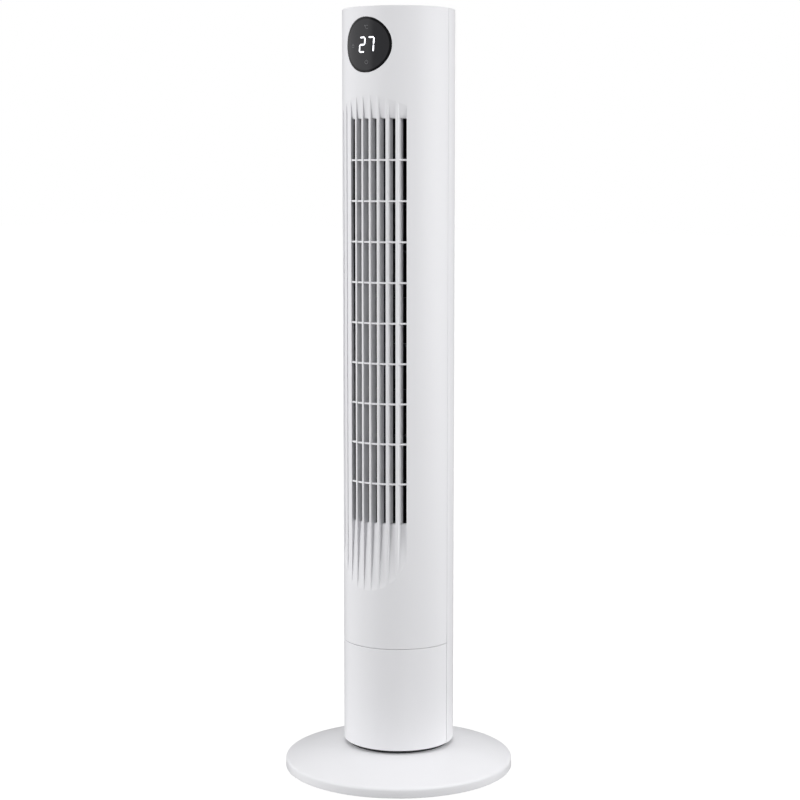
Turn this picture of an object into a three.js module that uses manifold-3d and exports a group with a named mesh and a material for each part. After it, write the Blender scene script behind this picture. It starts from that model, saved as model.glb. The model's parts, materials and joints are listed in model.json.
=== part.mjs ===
// Tower fan on a round base: a slim round tower that swings on its base and blows air
// through an upright grille with a cross-flow impeller. Millimetres, +Z up, front facing -Y,
// origin at the centre of the base on the floor.
import * as THREE from "three";
import { mergeVertices } from "three/addons/utils/BufferGeometryUtils.js";
import Module from "manifold-3d";

const wasm = await Module();
wasm.setup();

// ---------- Clearances ----------
const GAP = 0.3; // between pieces that touch or seat on each other
const SEAM = 0.5; // between the shells of the tower
const RUNNING_GAP = 0.5; // round a turning shaft, hub or rotor

// ---------- Tower shells ----------
const TOWER_RADIUS = 67;
const SHELL_WALL = 3;
const SWIVEL_GAP = 4.5; // from the base's crown up to the tower's lower rim
const LOWER_COVER_HEIGHT = 124.5;
const MOTOR_BAY_HEIGHT = 152; // from the cover seam up to the outlet
const HEAD_HEIGHT = 129; // from the outlet up to the top edge
const FRONT_HALF_ANGLE = 95.5; // degrees, front shells, either side of -Y
const TOP_EDGE_RADIUS = 1;
const TOP_LIP_WIDTH = 2;
const TOP_LEDGE_DEPTH = 7; // from the top edge down to the cap's ledge
const TOP_LEDGE_THICKNESS = 3;
const TOP_CAP_THICKNESS = 5;

// ---------- Outlet grille ----------
const FLUTE_COUNT = 9;
const BLIND_FLUTE_COUNT = 2; // of the flutes, from the scroll side, that stay closed
const BLIND_FLUTE_DEPTH = 1.5;
const SLAT_THICKNESS = 2.9;
const SLAT_DEPTH = 10.5;
const FLUTED_HALF_WIDTH = 45.5;
const RIB_PITCH = 47.6;
const CELL_COUNT = 10;
const RIB_HEIGHT = 2.2;
const RIB_DEPTH = 3.5;
const RIB_INSET = 1;
const CHEEK_THICKNESS = 2;
const CHEEK_ROOM = 1; // between a cheek and the floors beside it
const FLUTE_TOP_RISE = 28; // of the flutes above the outlet, at the middle
const FLUTE_TOP_DROP = 13; // how much less they rise at the sides
const FLUTE_TOP_DEPTH = 3;
const SCOOP_STRAIGHT = 38; // of the scoop's upright sides below the outlet
const SCOOP_ARCH = 44; // of the scoop's round end below them
const SCOOP_DEPTH = 5;
const SCOOP_WALL = 2.4;
const PLATE_INSET = 1; // of the plates and floors behind the surface they run out into
const PLATE_OVERRUN = 3; // of the plates past the ends of their flutes
const FLOOR_OVERRUN = 2; // of the floors' backs past the ends of their flutes
const RIB_ROOT = 0.5; // of the ribs inside the outlet's upright edges
const CUT_MARGIN = 5; // of cutting bodies past the surface they cut

// ---------- Display ----------
const LENS_RADIUS = 31.7;
const LENS_THICKNESS = 1.6;
const LENS_DROP = 44; // from the top edge down to the lens centre
const DIGIT_WIDTH = 26;
const DIGIT_HEIGHT = 18;
const DISPLAY_BOARD_SIZE = 46;
const BOARD_THICKNESS = 1.6;

// ---------- Rear shell ----------
const INTAKE_COLUMNS = 12;
const INTAKE_ROWS = 4;
const INTAKE_PITCH = 7.5; // degrees
const INTAKE_SLOT_WIDTH = 5;
const INTAKE_BAR = 5; // between rows of slots
const GRIP_WIDTH = 84;
const GRIP_HEIGHT = 30;
const GRIP_DEPTH = 25;
const GRIP_DROP = 42; // from the top edge down to the grip's top
const GRIP_WALL = 2.5;
const MOULDING_ROOT = 1; // of the inside mouldings within the wall they join

// ---------- Base ----------
const BASE_RADIUS = 139;
const BASE_CROWN = 31.5; // height of the flat under the tower
const BASE_SHOULDER = 14; // height where the dome meets the rounded edge
const BASE_EDGE_RADIUS = 4;
const BASE_WALL = 2.5;
const DOME_INSET = 1; // from the tower's surface in to the dome's start
const DOME_STRAIGHT = 0.75; // share of the dome's fall that is a straight slope
const RIM_INSIDE = 9; // height up to which the rim's inside is upright
const COLLAR_MARGIN = 8; // from the post out to the collar round it
const COLLAR_LIFT = 9; // of the collar's foot over the hub's flange
const BOTTOM_PLATE_MARGIN = 1.3; // between the bottom plate and the rim round it
const RIM_LIFT = 1.5; // of the rim over the floor
const BOTTOM_PLATE_THICKNESS = 2;
const BALLAST_INNER = 70;
const BALLAST_MARGIN = 21; // from the rim in to the ballast's edge
const BALLAST_THICKNESS = 6;
const FOOT_COUNT = 5;
const FOOT_RADIUS = 9;
const FOOT_INSET = 17;
const FOOT_HEIGHT = 1.7;
const BASE_SCREW_COUNT = 4;
const BASE_SCREW_CIRCLE = 33;
const BASE_SCREW_HEAD_HEIGHT = 1.2;

// ---------- Swivel ----------
const POST_RADIUS = 12;
const POST_BORE = 7.5;
const HUB_FLANGE_RADIUS = 40;
const HUB_FLANGE_THICKNESS = 3.7;
const BORE_CAP = 1; // of the hub's flange over the base screws' tips
const WIRE_WAY_HEIGHT = 14; // of the slot in the post for the supply wire
const BEARING_INNER = 44;
const BEARING_OUTER = 56;
const BEARING_THICKNESS = 1.6;
const NECK_INSET = 5.5; // of the dark neck behind the tower's surface
const TURNTABLE_THICKNESS = 3.5;
const SKIRT_WALL = 2.5;
const FLANGE_WIDTH = 5;
const GEAR_MODULE = 1.25;
const GEAR_TEETH = 36;
const PINION_TEETH = 18;
const GEAR_WIDTH = 6;
const GEAR_BACKLASH = 0.35;
const DEDENDUM = 1.25; // depth of a tooth below the pitch circle, in modules
const PRESSURE_ANGLE = THREE.MathUtils.degToRad(20);
const GEAR_LIFT = 0.4; // of the gear and pinion over the turntable
const NUT_WALL = 3;
const NUT_HEIGHT = 6;
const NUT_CLEARANCE = 2; // from the nut to the bracket beside it
const POST_REACH = 24; // of the post over the nut
const SWING_SHAFT_RADIUS = 2.5;
const SWING_MOTOR_RADIUS = 17.5;
const SWING_MOTOR_HEIGHT = 18;
const BRACKET_THICKNESS = 2;
const BRACKET_LEG_RADIUS = 3;
const BRACKET_LEG_REACH = 19;
const BRACKET_CORNER = 6; // cut off the bracket's outer corners
const BRACKET_SHAFT_MARGIN = 1.5; // round the shaft where it passes the bracket

// ---------- Main motor and impeller ----------
const IMPELLER_OFFSET = 6; // of the impeller's axis behind the tower's
const IMPELLER_SIDE_GAP = 24; // from the tower's inner wall to the impeller
const BLADE_COUNT = 24;
const BLADE_CHORD = 12;
const BLADE_INSET = 1; // from the discs' rims in to the blades
const BLADE_THICKNESS = 1.1;
const BLADE_CAMBER = 2.6;
const BLADE_LEAN = THREE.MathUtils.degToRad(52);
const DISC_COUNT = 4;
const WHEEL_LIFT = 1; // of the impeller over the coupling's flange
const WHEEL_DROP = 6; // from the bearing bracket down to the impeller's top
const DISC_THICKNESS = 1.6;
const RING_MARGIN = 3; // of the middle discs inside the blades
const PLATE_THICKNESS = 3;
const PLATE_DROP = 21; // from the outlet down to the motor plate's top
const SHAFT_HOLE_MARGIN = 3; // round the motor's shaft where it passes the plate
const BRACKET_RISE = 17; // from the outlet up to the bearing bracket's underside
const MOTOR_SIDE_GAP = 26;
const MOTOR_SHAFT_RADIUS = 4;
const SLEEVE_RADIUS = 8;
const SLEEVE_HEIGHT = 9;
const BELL_HEIGHT = 12;
const BELL_WALL = 2;
const WINDING_HEIGHT = 6;
const CORE_HEIGHT = 26;
const CORE_INNER = 22.3;
const CORE_MARGIN = 1; // of the core behind the motor's rim, and of the windings behind its bore
const WINDING_ROOM = 4; // between the windings and the bells
const ROTOR_OVERHANG = 1; // of the rotor past the core at either end
const FACE_BORE_MARGIN = 1; // round the shaft where it leaves a bell
const GROMMET_RADIUS = 6;
const GROMMET_HEIGHT = 8;
const GROMMET_COUNT = 3;
const GROMMET_BORE = 2;
const GROMMET_INSET = 2; // from the motor's rim in to the grommets
const COUPLING_FLANGE_RADIUS = 14;
const COUPLING_NECK_RADIUS = 10;
const COUPLING_LIFT = 1; // of the coupling over the motor plate
const COUPLING_FLANGE_HEIGHT = 9;
const COUPLING_NECK_HEIGHT = 4;
const JOURNAL_FLANGE_RADIUS = 9;
const JOURNAL_FLANGE_THICKNESS = 2;
const JOURNAL_DEPTH = 8; // of the journal inside the impeller
const RUBBER_RADIUS = 15;
const RUBBER_HEIGHT = 8;
const CUP_WALL = 3; // of the cup round the bearing's rubber
const CUP_LIP = 2; // of the cup's top over the bearing
const DUCT_WALL = 2;
const DUCT_GAP = 4;
const DUCT_STEP = 0.16; // radians from one corner of a duct wall to the next
const SCROLL_START = 135; // degrees, where the scroll wall leaves the impeller
const TONGUE_START = -12; // degrees, where the tongue wall leaves the impeller

// ---------- Electrics and fasteners ----------
const BOARD_SETBACK = 38; // of the control board behind the tower's axis
const BOARD_LENGTH = 75;
const BOARD_RISE = 50; // of the board's lower edge above the turntable
const BOARD_SIDE_GAP = 14;
const BOARD_MARGIN = 2; // from the board's edges to what stands on it
const HARNESS_TURN = 0.62; // share of the board's length where the wiring lies down on it
const BOSS_RADIUS = 3;
const MODULE_SIZE = [40, 20, 28]; // x, y, z of the power module
const CAPACITOR_SIZE = [16, 14, 34];
const WIRE_RADIUS = 2.2;
const WIRE_ROOM = 1; // beside the supply wire in the slots it passes
const LEAD_APPROACH = 10; // from the post out to where the supply wire starts to rise
const LEAD_BEND = 6; // height of the wire's bend, and its depth below the post's top
const GLAND_RADIUS = 3.8;
const GLAND_BORE = 2.6;
const GLAND_LENGTH = 9;
const SCREW_HEAD_RADIUS = 3.8;
const SCREW_HEAD_HEIGHT = 2.5;
const SCREW_SHANK_RADIUS = 1.6;
const SCREW_SPREAD = 40; // of the rear screws either side of the middle
const SCREW_SEAT = 46; // of the rear screws' seats behind the tower's axis
const SCREW_LENGTH = 15;
const LUG_SIZE = 8;
const LUG_DEPTH = 12;
const LUG_HEIGHT = 12;
const LUG_ROOT = 1; // of the lugs inside the floor they stand on
const SEAT_RIM = 2; // of plastic round a rear screw's head
const SEAT_WALL = 3; // of plastic between a rear screw's head and its lug

// ---------- Heights worked out from the sizes above ----------
const PLATE_Z = FOOT_HEIGHT + GAP;
const BALLAST_Z = PLATE_Z + BOTTOM_PLATE_THICKNESS + GAP;
const GLAND_Z = BALLAST_Z + GLAND_RADIUS;
const TOWER_BOTTOM = BASE_CROWN + SWIVEL_GAP;
const COVER_TOP = TOWER_BOTTOM + LOWER_COVER_HEIGHT;
const OUTLET_BOTTOM = COVER_TOP + MOTOR_BAY_HEIGHT;
const OUTLET_TOP = OUTLET_BOTTOM + CELL_COUNT * RIB_PITCH;
const TOWER_TOP = OUTLET_TOP + HEAD_HEIGHT;
const INNER_RADIUS = TOWER_RADIUS - SHELL_WALL;
const NECK_RADIUS = TOWER_RADIUS - NECK_INSET;
const BEARING_Z = BASE_CROWN + GAP;
const TURNTABLE_Z = BEARING_Z + BEARING_THICKNESS + GAP;
const TURNTABLE_TOP = TURNTABLE_Z + TURNTABLE_THICKNESS;
const FLANGE_TOP = TURNTABLE_TOP + TURNTABLE_THICKNESS;
const GEAR_Z = TURNTABLE_TOP + GAP + GEAR_LIFT;
const NUT_Z = GEAR_Z + GEAR_WIDTH + GAP;
const NUT_TOP = NUT_Z + NUT_HEIGHT;
const POST_TOP = NUT_TOP + POST_REACH;
const GEAR_PITCH_RADIUS = (GEAR_MODULE * GEAR_TEETH) / 2;
const PINION_PITCH_RADIUS = (GEAR_MODULE * PINION_TEETH) / 2;
const PINION_REACH = GEAR_PITCH_RADIUS + PINION_PITCH_RADIUS;
const BRACKET_Z = NUT_TOP - BRACKET_THICKNESS;
const SWING_MOTOR_Z = BRACKET_Z + BRACKET_THICKNESS + GAP;
const SWING_SHAFT_TOP = SWING_MOTOR_Z + SWING_MOTOR_HEIGHT / 2;
const MOTOR_PLATE_TOP = OUTLET_BOTTOM - PLATE_DROP;
const MOTOR_PLATE_Z = MOTOR_PLATE_TOP - PLATE_THICKNESS;
const BEARING_PLATE_Z = OUTLET_TOP + BRACKET_RISE;
const IMPELLER_RADIUS = INNER_RADIUS - IMPELLER_SIDE_GAP;
const MOTOR_RADIUS = INNER_RADIUS - MOTOR_SIDE_GAP;
const FLANGE_FACE = COUPLING_LIFT + COUPLING_FLANGE_HEIGHT; // of the coupling, over the motor plate
const WHEEL_Z = MOTOR_PLATE_TOP + FLANGE_FACE + WHEEL_LIFT;
const WHEEL_TOP = BEARING_PLATE_Z - WHEEL_DROP;
const LENS_Z = TOWER_TOP - LENS_DROP;
const GRIP_TOP = TOWER_TOP - GRIP_DROP;
const SCREW_HEIGHTS = [FLANGE_TOP + LUG_HEIGHT, BEARING_PLATE_Z + LUG_HEIGHT];

// ---------- Finishes ----------
const finishes = {
  white: [0xe8e8eb, 0.38, 0],
  whiteBase: [0xececf0, 0.42, 0],
  black: [0x17181a, 0.5, 0],
  gloss: [0x0b0b0d, 0.06, 0],
  dark: [0x1d1d22, 0.55, 0],
  rubber: [0x202022, 0.9, 0],
  steel: [0xa9abae, 0.35, 1],
  bronze: [0x9a7b4f, 0.4, 1],
  copper: [0xb5653a, 0.35, 1],
  board: [0x1f5c38, 0.5, 0],
  nylon: [0xd9d6cc, 0.45, 0],
  lead: [0x2a2a2c, 0.7, 0],
};

const materials = Object.fromEntries(
  Object.entries(finishes).map(([name, [color, roughness, metalness]]) => [
    name,
    new THREE.MeshStandardMaterial({ color, roughness, metalness }),
  ]),
);

// ---------- Solids from three.js geometry ----------
const degrees = THREE.MathUtils.degToRad;

// A closed three.js geometry as a solid that can be joined and cut.
function solid(geometry) {
  const bare = geometry.clone();
  bare.deleteAttribute("normal");
  bare.deleteAttribute("uv");
  const merged = mergeVertices(bare, 1e-4);
  return new wasm.Manifold(
    new wasm.Mesh({
      numProp: 3,
      vertProperties: merged.attributes.position.array,
      triVerts: new Uint32Array(merged.index.array),
    }),
  );
}

// A solid back as a geometry, with flat faces.
function geometryOf(body) {
  const mesh = body.getMesh();
  const positions = new Float32Array(mesh.numVert * 3);
  for (let i = 0; i < mesh.numVert; i += 1) {
    const start = i * mesh.numProp;
    positions.set(mesh.vertProperties.subarray(start, start + 3), i * 3);
  }
  const geometry = new THREE.BufferGeometry();
  geometry.setAttribute("position", new THREE.BufferAttribute(positions, 3));
  geometry.setIndex(new THREE.BufferAttribute(mesh.triVerts, 1));
  const flat = geometry.toNonIndexed();
  flat.computeVertexNormals();
  return flat;
}

const joined = (bodies) => bodies.reduce((whole, body) => whole.add(body));

const cut = (body, cutters) => cutters.reduce((left, cutter) => left.subtract(cutter), body);

// Twice the signed area of a closed outline.
function turnOf(points) {
  return points.reduce((sum, [x, y], i) => {
    const [nextX, nextY] = points[(i + 1) % points.length];
    return sum + x * nextY - nextX * y;
  }, 0);
}

// A ring or disc turned about Z from a closed outline of [radius, height] points.
function turned(outline, segments = 32) {
  const points = turnOf(outline) < 0 ? [...outline].reverse() : outline;
  const start = points.findIndex(([radius], i) => {
    const [before] = points[(i + points.length - 1) % points.length];
    return radius === 0 && before === 0;
  });
  const onAxis = start >= 0;
  const order = onAxis ? [...points.slice(start), ...points.slice(0, start)] : points;
  const profile = order.map(([radius, height]) => new THREE.Vector2(radius, height));
  if (!onAxis) profile.push(profile[0].clone());
  return new THREE.LatheGeometry(profile, segments).rotateX(Math.PI / 2);
}

const tube = (inner, outer, low, high, segments = 24) =>
  turned([[inner, low], [outer, low], [outer, high], [inner, high]], segments);

const disc = (radius, low, high, segments = 24) =>
  turned([[0, low], [radius, low], [radius, high], [0, high]], segments);

// An outline of [x, y] points raised along Z, with optional round holes [x, y, radius].
function raised(outline, low, high, holes = []) {
  const shape = new THREE.Shape(outline.map(([x, y]) => new THREE.Vector2(x, y)));
  for (const [x, y, radius] of holes) {
    shape.holes.push(new THREE.Path().absarc(x, y, radius, 0, 2 * Math.PI));
  }
  const options = { depth: high - low, bevelEnabled: false, curveSegments: 8 };
  return new THREE.ExtrudeGeometry(shape, options).translate(0, 0, low);
}

// An outline of [y, z] points drawn out along X.
function alongX(outline, low, high) {
  const turn = new THREE.Matrix4().makeBasis(
    new THREE.Vector3(0, 1, 0),
    new THREE.Vector3(0, 0, 1),
    new THREE.Vector3(1, 0, 0),
  );
  return raised(outline, low, high).applyMatrix4(turn);
}

const block = (low, high) =>
  new THREE.BoxGeometry(high[0] - low[0], high[1] - low[1], high[2] - low[2]).translate(
    (low[0] + high[0]) / 2,
    (low[1] + high[1]) / 2,
    (low[2] + high[2]) / 2,
  );

const rodAlongY = (x, z, radius, low, high, segments = 20) =>
  new THREE.CylinderGeometry(radius, radius, high - low, segments).translate(x, (low + high) / 2, z);

const rodAlongZ = (x, y, radius, low, high, segments = 20) =>
  new THREE.CylinderGeometry(radius, radius, high - low, segments)
    .rotateX(Math.PI / 2)
    .translate(x, y, (low + high) / 2);

function arcPoints(centre, radius, from, to, steps) {
  return Array.from({ length: steps + 1 }, (_, i) => {
    const angle = from + ((to - from) * i) / steps;
    return [centre[0] + radius * Math.cos(angle), centre[1] + radius * Math.sin(angle)];
  });
}

// Distance behind the tower's axis of a circle of the given radius at a sideways place.
const chord = (radius, x) => Math.sqrt(radius * radius - x * x);

function piece(name, geometry, finish, position = [0, 0, 0]) {
  const mesh = new THREE.Mesh(geometry, materials[finish]);
  mesh.name = name;
  mesh.position.set(...position);
  return mesh;
}

function group(...children) {
  const made = new THREE.Group();
  made.add(...children.flat());
  return made;
}

// ---------- Tower shells ----------
const SHELL_SEGMENTS = 48;

// A wedge that keeps the shells' share of the round tower, centred on a direction.
function wedge(centre, halfAngle, low, high) {
  const reach = 2 * TOWER_RADIUS;
  const from = degrees(centre - halfAngle);
  const to = degrees(centre + halfAngle);
  const outline = [[0, 0], ...arcPoints([0, 0], reach, from, to, 12)];
  return solid(raised(outline, low - CUT_MARGIN, high + CUT_MARGIN));
}

// The tower's wall from one height to another, with the rounded top edge and the cap's ledge.
function wallWithTop(low) {
  const lip = INNER_RADIUS - TOP_LIP_WIDTH;
  const ledge = lip - TOP_LEDGE_THICKNESS;
  const ledgeTop = TOWER_TOP - TOP_LEDGE_DEPTH;
  const edge = [TOWER_RADIUS - TOP_EDGE_RADIUS, TOWER_TOP - TOP_EDGE_RADIUS];
  return turned(
    [
      [INNER_RADIUS, low],
      [TOWER_RADIUS, low],
      ...arcPoints(edge, TOP_EDGE_RADIUS, 0, Math.PI / 2, 2),
      [lip, TOWER_TOP],
      [lip, ledgeTop],
      [ledge, ledgeTop],
      [ledge, ledgeTop - TOP_LEDGE_THICKNESS],
      [INNER_RADIUS, ledgeTop - TOP_LEDGE_THICKNESS],
    ],
    SHELL_SEGMENTS,
  );
}

const seamAngle = THREE.MathUtils.radToDeg(SEAM / 2 / TOWER_RADIUS);
const FRONT = -90;
const REAR = 90;

// ---------- Outlet grille ----------
const FLUTE_PITCH = (2 * FLUTED_HALF_WIDTH + SLAT_THICKNESS) / FLUTE_COUNT;
const FLUTE_HALF_WIDTH = (FLUTE_PITCH - SLAT_THICKNESS) / 2;

const flutePlaces = Array.from({ length: FLUTE_COUNT }, (_, i) => (i - (FLUTE_COUNT - 1) / 2) * FLUTE_PITCH);
const blindFlutes = flutePlaces.slice(0, BLIND_FLUTE_COUNT);
const openFlutes = flutePlaces.slice(BLIND_FLUTE_COUNT);
const slatPlaces = openFlutes.slice(1).map((x) => x - FLUTE_PITCH / 2);

// The outlet's upright edges, on the scroll side and on the tongue side.
const SCROLL_EDGE = openFlutes[0] - FLUTE_HALF_WIDTH;
const TONGUE_EDGE = FLUTED_HALF_WIDTH;

// Heights at which the flutes run out into the tower's surface, at a sideways place.
function runOut(x) {
  const share = Math.min(1, Math.abs(x) / FLUTED_HALF_WIDTH);
  const arch = SCOOP_ARCH * Math.sqrt(Math.max(0, 1 - share * share));
  return {
    low: OUTLET_BOTTOM - SCOOP_STRAIGHT - arch,
    high: OUTLET_TOP + FLUTE_TOP_RISE - FLUTE_TOP_DROP * share * share,
  };
}

// An upright plate behind the surface that runs out with the flutes beside it.
function uprightPlate(x, thickness, depth) {
  const face = -chord(TOWER_RADIUS, x);
  const front = face + PLATE_INSET;
  const { low, high } = runOut(x);
  const back = SCOOP_WALL + PLATE_INSET;
  const outline = [
    [front, low - PLATE_OVERRUN],
    [front + back, low - PLATE_OVERRUN],
    [face + SCOOP_DEPTH + back, OUTLET_BOTTOM - PLATE_INSET],
    [face + depth, OUTLET_BOTTOM - PLATE_INSET],
    [face + depth, OUTLET_TOP + PLATE_INSET],
    [face + FLUTE_TOP_DEPTH + back, OUTLET_TOP + PLATE_INSET],
    [front + back, high + PLATE_OVERRUN],
    [front, high + PLATE_OVERRUN],
  ];
  return solid(alongX(outline, x - thickness / 2, x + thickness / 2));
}

// The sloping floors above and below the outlet that close a flute off from the inside.
function fluteFloors(x) {
  const face = -chord(TOWER_RADIUS, x);
  const front = face + PLATE_INSET;
  const { low, high } = runOut(x);
  const half = FLUTE_PITCH / 2;
  const scoop = [
    [front, low],
    [face + SCOOP_DEPTH, OUTLET_BOTTOM],
    [face + SCOOP_DEPTH + SCOOP_WALL, OUTLET_BOTTOM],
    [front + SCOOP_WALL, low - FLOOR_OVERRUN],
  ];
  const top = [
    [front + SCOOP_WALL, high + FLOOR_OVERRUN],
    [face + FLUTE_TOP_DEPTH + SCOOP_WALL, OUTLET_TOP],
    [face + FLUTE_TOP_DEPTH, OUTLET_TOP],
    [front, high],
  ];
  return [scoop, top].map((outline) => solid(alongX(outline, x - half, x + half)));
}

// The cut that opens one flute: sloping at both ends and right through along the outlet.
function fluteCutter(x) {
  const face = -chord(TOWER_RADIUS, x);
  const outside = -TOWER_RADIUS - CUT_MARGIN;
  const inside = face + SCOOP_DEPTH + SCOOP_WALL + SLAT_DEPTH;
  const { low, high } = runOut(x);
  const outline = [
    [outside, low],
    [face, low],
    [face + SCOOP_DEPTH, OUTLET_BOTTOM],
    [inside, OUTLET_BOTTOM],
    [inside, OUTLET_TOP],
    [face + FLUTE_TOP_DEPTH, OUTLET_TOP],
    [face, high],
    [outside, high],
  ];
  return solid(alongX(outline, x - FLUTE_HALF_WIDTH, x + FLUTE_HALF_WIDTH));
}

// The shallow cut of a flute that stays closed.
function blindFluteCutter(x) {
  const { low, high } = runOut(x);
  const skin = tube(TOWER_RADIUS - BLIND_FLUTE_DEPTH, TOWER_RADIUS + CUT_MARGIN, low, high, SHELL_SEGMENTS);
  const front = -TOWER_RADIUS - CUT_MARGIN;
  const strip = block([x - FLUTE_HALF_WIDTH, front, low], [x + FLUTE_HALF_WIDTH, 0, high]);
  return solid(skin).intersect(solid(strip));
}

function grilleRibs() {
  const outer = TOWER_RADIUS - RIB_INSET;
  const low = [SCROLL_EDGE - RIB_ROOT, -TOWER_RADIUS, OUTLET_BOTTOM];
  const high = [TONGUE_EDGE + RIB_ROOT, 0, OUTLET_TOP];
  const window = solid(block(low, high));
  return Array.from({ length: CELL_COUNT - 1 }, (_, i) => {
    const z = OUTLET_BOTTOM + (i + 1) * RIB_PITCH;
    const ring = tube(outer - RIB_DEPTH, outer, z - RIB_HEIGHT / 2, z + RIB_HEIGHT / 2, 24);
    return solid(ring).intersect(window);
  });
}

// The lens's recess in the front wall and the smaller window behind it for the digits.
function displayCutters() {
  const front = -TOWER_RADIUS - CUT_MARGIN;
  const recessFloor = TOWER_RADIUS - LENS_THICKNESS - GAP;
  const recess = solid(tube(recessFloor, TOWER_RADIUS + CUT_MARGIN, 0, TOWER_TOP, SHELL_SEGMENTS));
  const round = solid(rodAlongY(0, LENS_Z, LENS_RADIUS + GAP, front, 0, 40));
  const half = [DIGIT_WIDTH / 2 + GAP, DIGIT_HEIGHT / 2 + GAP];
  const window = block([-half[0], front, LENS_Z - half[1]], [half[0], 0, LENS_Z + half[1]]);
  return [recess.intersect(round), solid(window)];
}

function frontHousing() {
  const low = COVER_TOP + SEAM;
  const shell = solid(wallWithTop(low)).intersect(wedge(FRONT, FRONT_HALF_ANGLE - seamAngle, low, TOWER_TOP));
  const cheeks = [SCROLL_EDGE - CHEEK_THICKNESS / 2, TONGUE_EDGE + CHEEK_THICKNESS / 2];
  const cheekDepth = SCOOP_DEPTH + SCOOP_WALL + PLATE_INSET;
  const plates = [
    ...slatPlaces.map((x) => uprightPlate(x, SLAT_THICKNESS, SLAT_DEPTH)),
    ...cheeks.map((x) => uprightPlate(x, CHEEK_THICKNESS, cheekDepth)),
  ];
  const floors = openFlutes.flatMap(fluteFloors);
  const cutters = [...openFlutes.map(fluteCutter), ...blindFlutes.map(blindFluteCutter)];
  const open = cut(joined([shell, ...plates, ...floors]), cutters);
  return cut(joined([open, ...grilleRibs()]), displayCutters());
}

function lowerFrontCover() {
  const wall = tube(INNER_RADIUS, TOWER_RADIUS, TOWER_BOTTOM, COVER_TOP, SHELL_SEGMENTS);
  const keep = wedge(FRONT, FRONT_HALF_ANGLE - seamAngle, TOWER_BOTTOM, COVER_TOP);
  return solid(wall).intersect(keep);
}

// ---------- Rear shell ----------
function intakeCutters() {
  const span = OUTLET_TOP - OUTLET_BOTTOM;
  const rowPitch = span / INTAKE_ROWS;
  const half = INTAKE_SLOT_WIDTH / 2;
  const cutters = [];
  for (let row = 0; row < INTAKE_ROWS; row += 1) {
    const low = OUTLET_BOTTOM + row * rowPitch + INTAKE_BAR / 2;
    for (let column = 0; column < INTAKE_COLUMNS; column += 1) {
      const angle = (column - (INTAKE_COLUMNS - 1) / 2) * INTAKE_PITCH;
      const high = low + rowPitch - INTAKE_BAR;
      const slot = block([-half, INNER_RADIUS - CUT_MARGIN, low], [half, TOWER_RADIUS + CUT_MARGIN, high]);
      cutters.push(solid(slot.rotateZ(degrees(angle))));
    }
  }
  return cutters;
}

const screwPlaces = SCREW_HEIGHTS.flatMap((z) => [[-SCREW_SPREAD, z], [SCREW_SPREAD, z]]);

function boardBosses() {
  const boardBack = BOARD_SETBACK + BOARD_THICKNESS + GAP;
  const across = chord(INNER_RADIUS, BOARD_SETBACK) - BOARD_SIDE_GAP - 2 * BOSS_RADIUS;
  const low = TURNTABLE_TOP + BOARD_RISE + 2 * BOSS_RADIUS;
  const high = TURNTABLE_TOP + BOARD_RISE + BOARD_LENGTH - 2 * BOSS_RADIUS;
  return [-across, across].flatMap((x) =>
    [low, high].map((z) => solid(rodAlongY(x, z, BOSS_RADIUS, boardBack, TOWER_RADIUS, 12))),
  );
}

function gripPocket() {
  const half = GRIP_WIDTH / 2;
  const low = GRIP_TOP - GRIP_HEIGHT;
  const back = TOWER_RADIUS - GRIP_DEPTH;
  const wall = GRIP_WALL;
  const shellLow = [-half - wall, back - wall, low - wall];
  const shell = solid(block(shellLow, [half + wall, TOWER_RADIUS, GRIP_TOP + wall]));
  const hollow = block([-half, back, low], [half, TOWER_RADIUS + CUT_MARGIN, GRIP_TOP]);
  return { shell, hollow: solid(hollow) };
}

function rearHousing() {
  const half = 180 - FRONT_HALF_ANGLE - seamAngle;
  const shell = solid(wallWithTop(TOWER_BOTTOM)).intersect(wedge(REAR, half, TOWER_BOTTOM, TOWER_TOP));
  const grip = gripPocket();
  const bosses = screwPlaces.map(([x, z]) =>
    solid(rodAlongY(x, z, SCREW_HEAD_RADIUS + SEAT_RIM, SCREW_SEAT - SEAT_WALL, TOWER_RADIUS, 16)),
  );
  const inside = solid(disc(INNER_RADIUS + MOULDING_ROOT, TOWER_BOTTOM, TOWER_TOP, SHELL_SEGMENTS));
  const seats = screwPlaces.flatMap(([x, z]) => [
    solid(rodAlongY(x, z, SCREW_HEAD_RADIUS + GAP, SCREW_SEAT, TOWER_RADIUS + CUT_MARGIN, 16)),
    solid(rodAlongY(x, z, SCREW_SHANK_RADIUS + GAP, 0, TOWER_RADIUS, 12)),
  ]);
  const mouldings = joined([grip.shell, ...bosses, ...boardBosses()]).intersect(inside);
  const whole = shell.add(mouldings);
  return cut(whole, [grip.hollow, ...seats, ...intakeCutters()]);
}

function rearScrews() {
  const seat = SCREW_SEAT + GAP;
  return screwPlaces.map(([x, z], i) => {
    const head = solid(rodAlongY(x, z, SCREW_HEAD_RADIUS, seat, seat + SCREW_HEAD_HEIGHT, 14));
    const shankTop = seat + SCREW_HEAD_HEIGHT / 2;
    const shank = solid(rodAlongY(x, z, SCREW_SHANK_RADIUS, seat - SCREW_LENGTH, shankTop, 8));
    return piece(`rear_screw_${i + 1}`, geometryOf(head.add(shank)), "steel");
  });
}

// ---------- Top and display ----------
function topCap() {
  const radius = INNER_RADIUS - TOP_LIP_WIDTH - GAP;
  const low = TOWER_TOP - TOP_LEDGE_DEPTH + GAP;
  return disc(radius, low, low + TOP_CAP_THICKNESS, SHELL_SEGMENTS);
}

function displayLens() {
  const ring = solid(tube(TOWER_RADIUS - LENS_THICKNESS, TOWER_RADIUS, 0, TOWER_TOP, SHELL_SEGMENTS));
  const round = solid(rodAlongY(0, LENS_Z, LENS_RADIUS, -TOWER_RADIUS - CUT_MARGIN, 0, 40));
  return ring.intersect(round);
}

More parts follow.
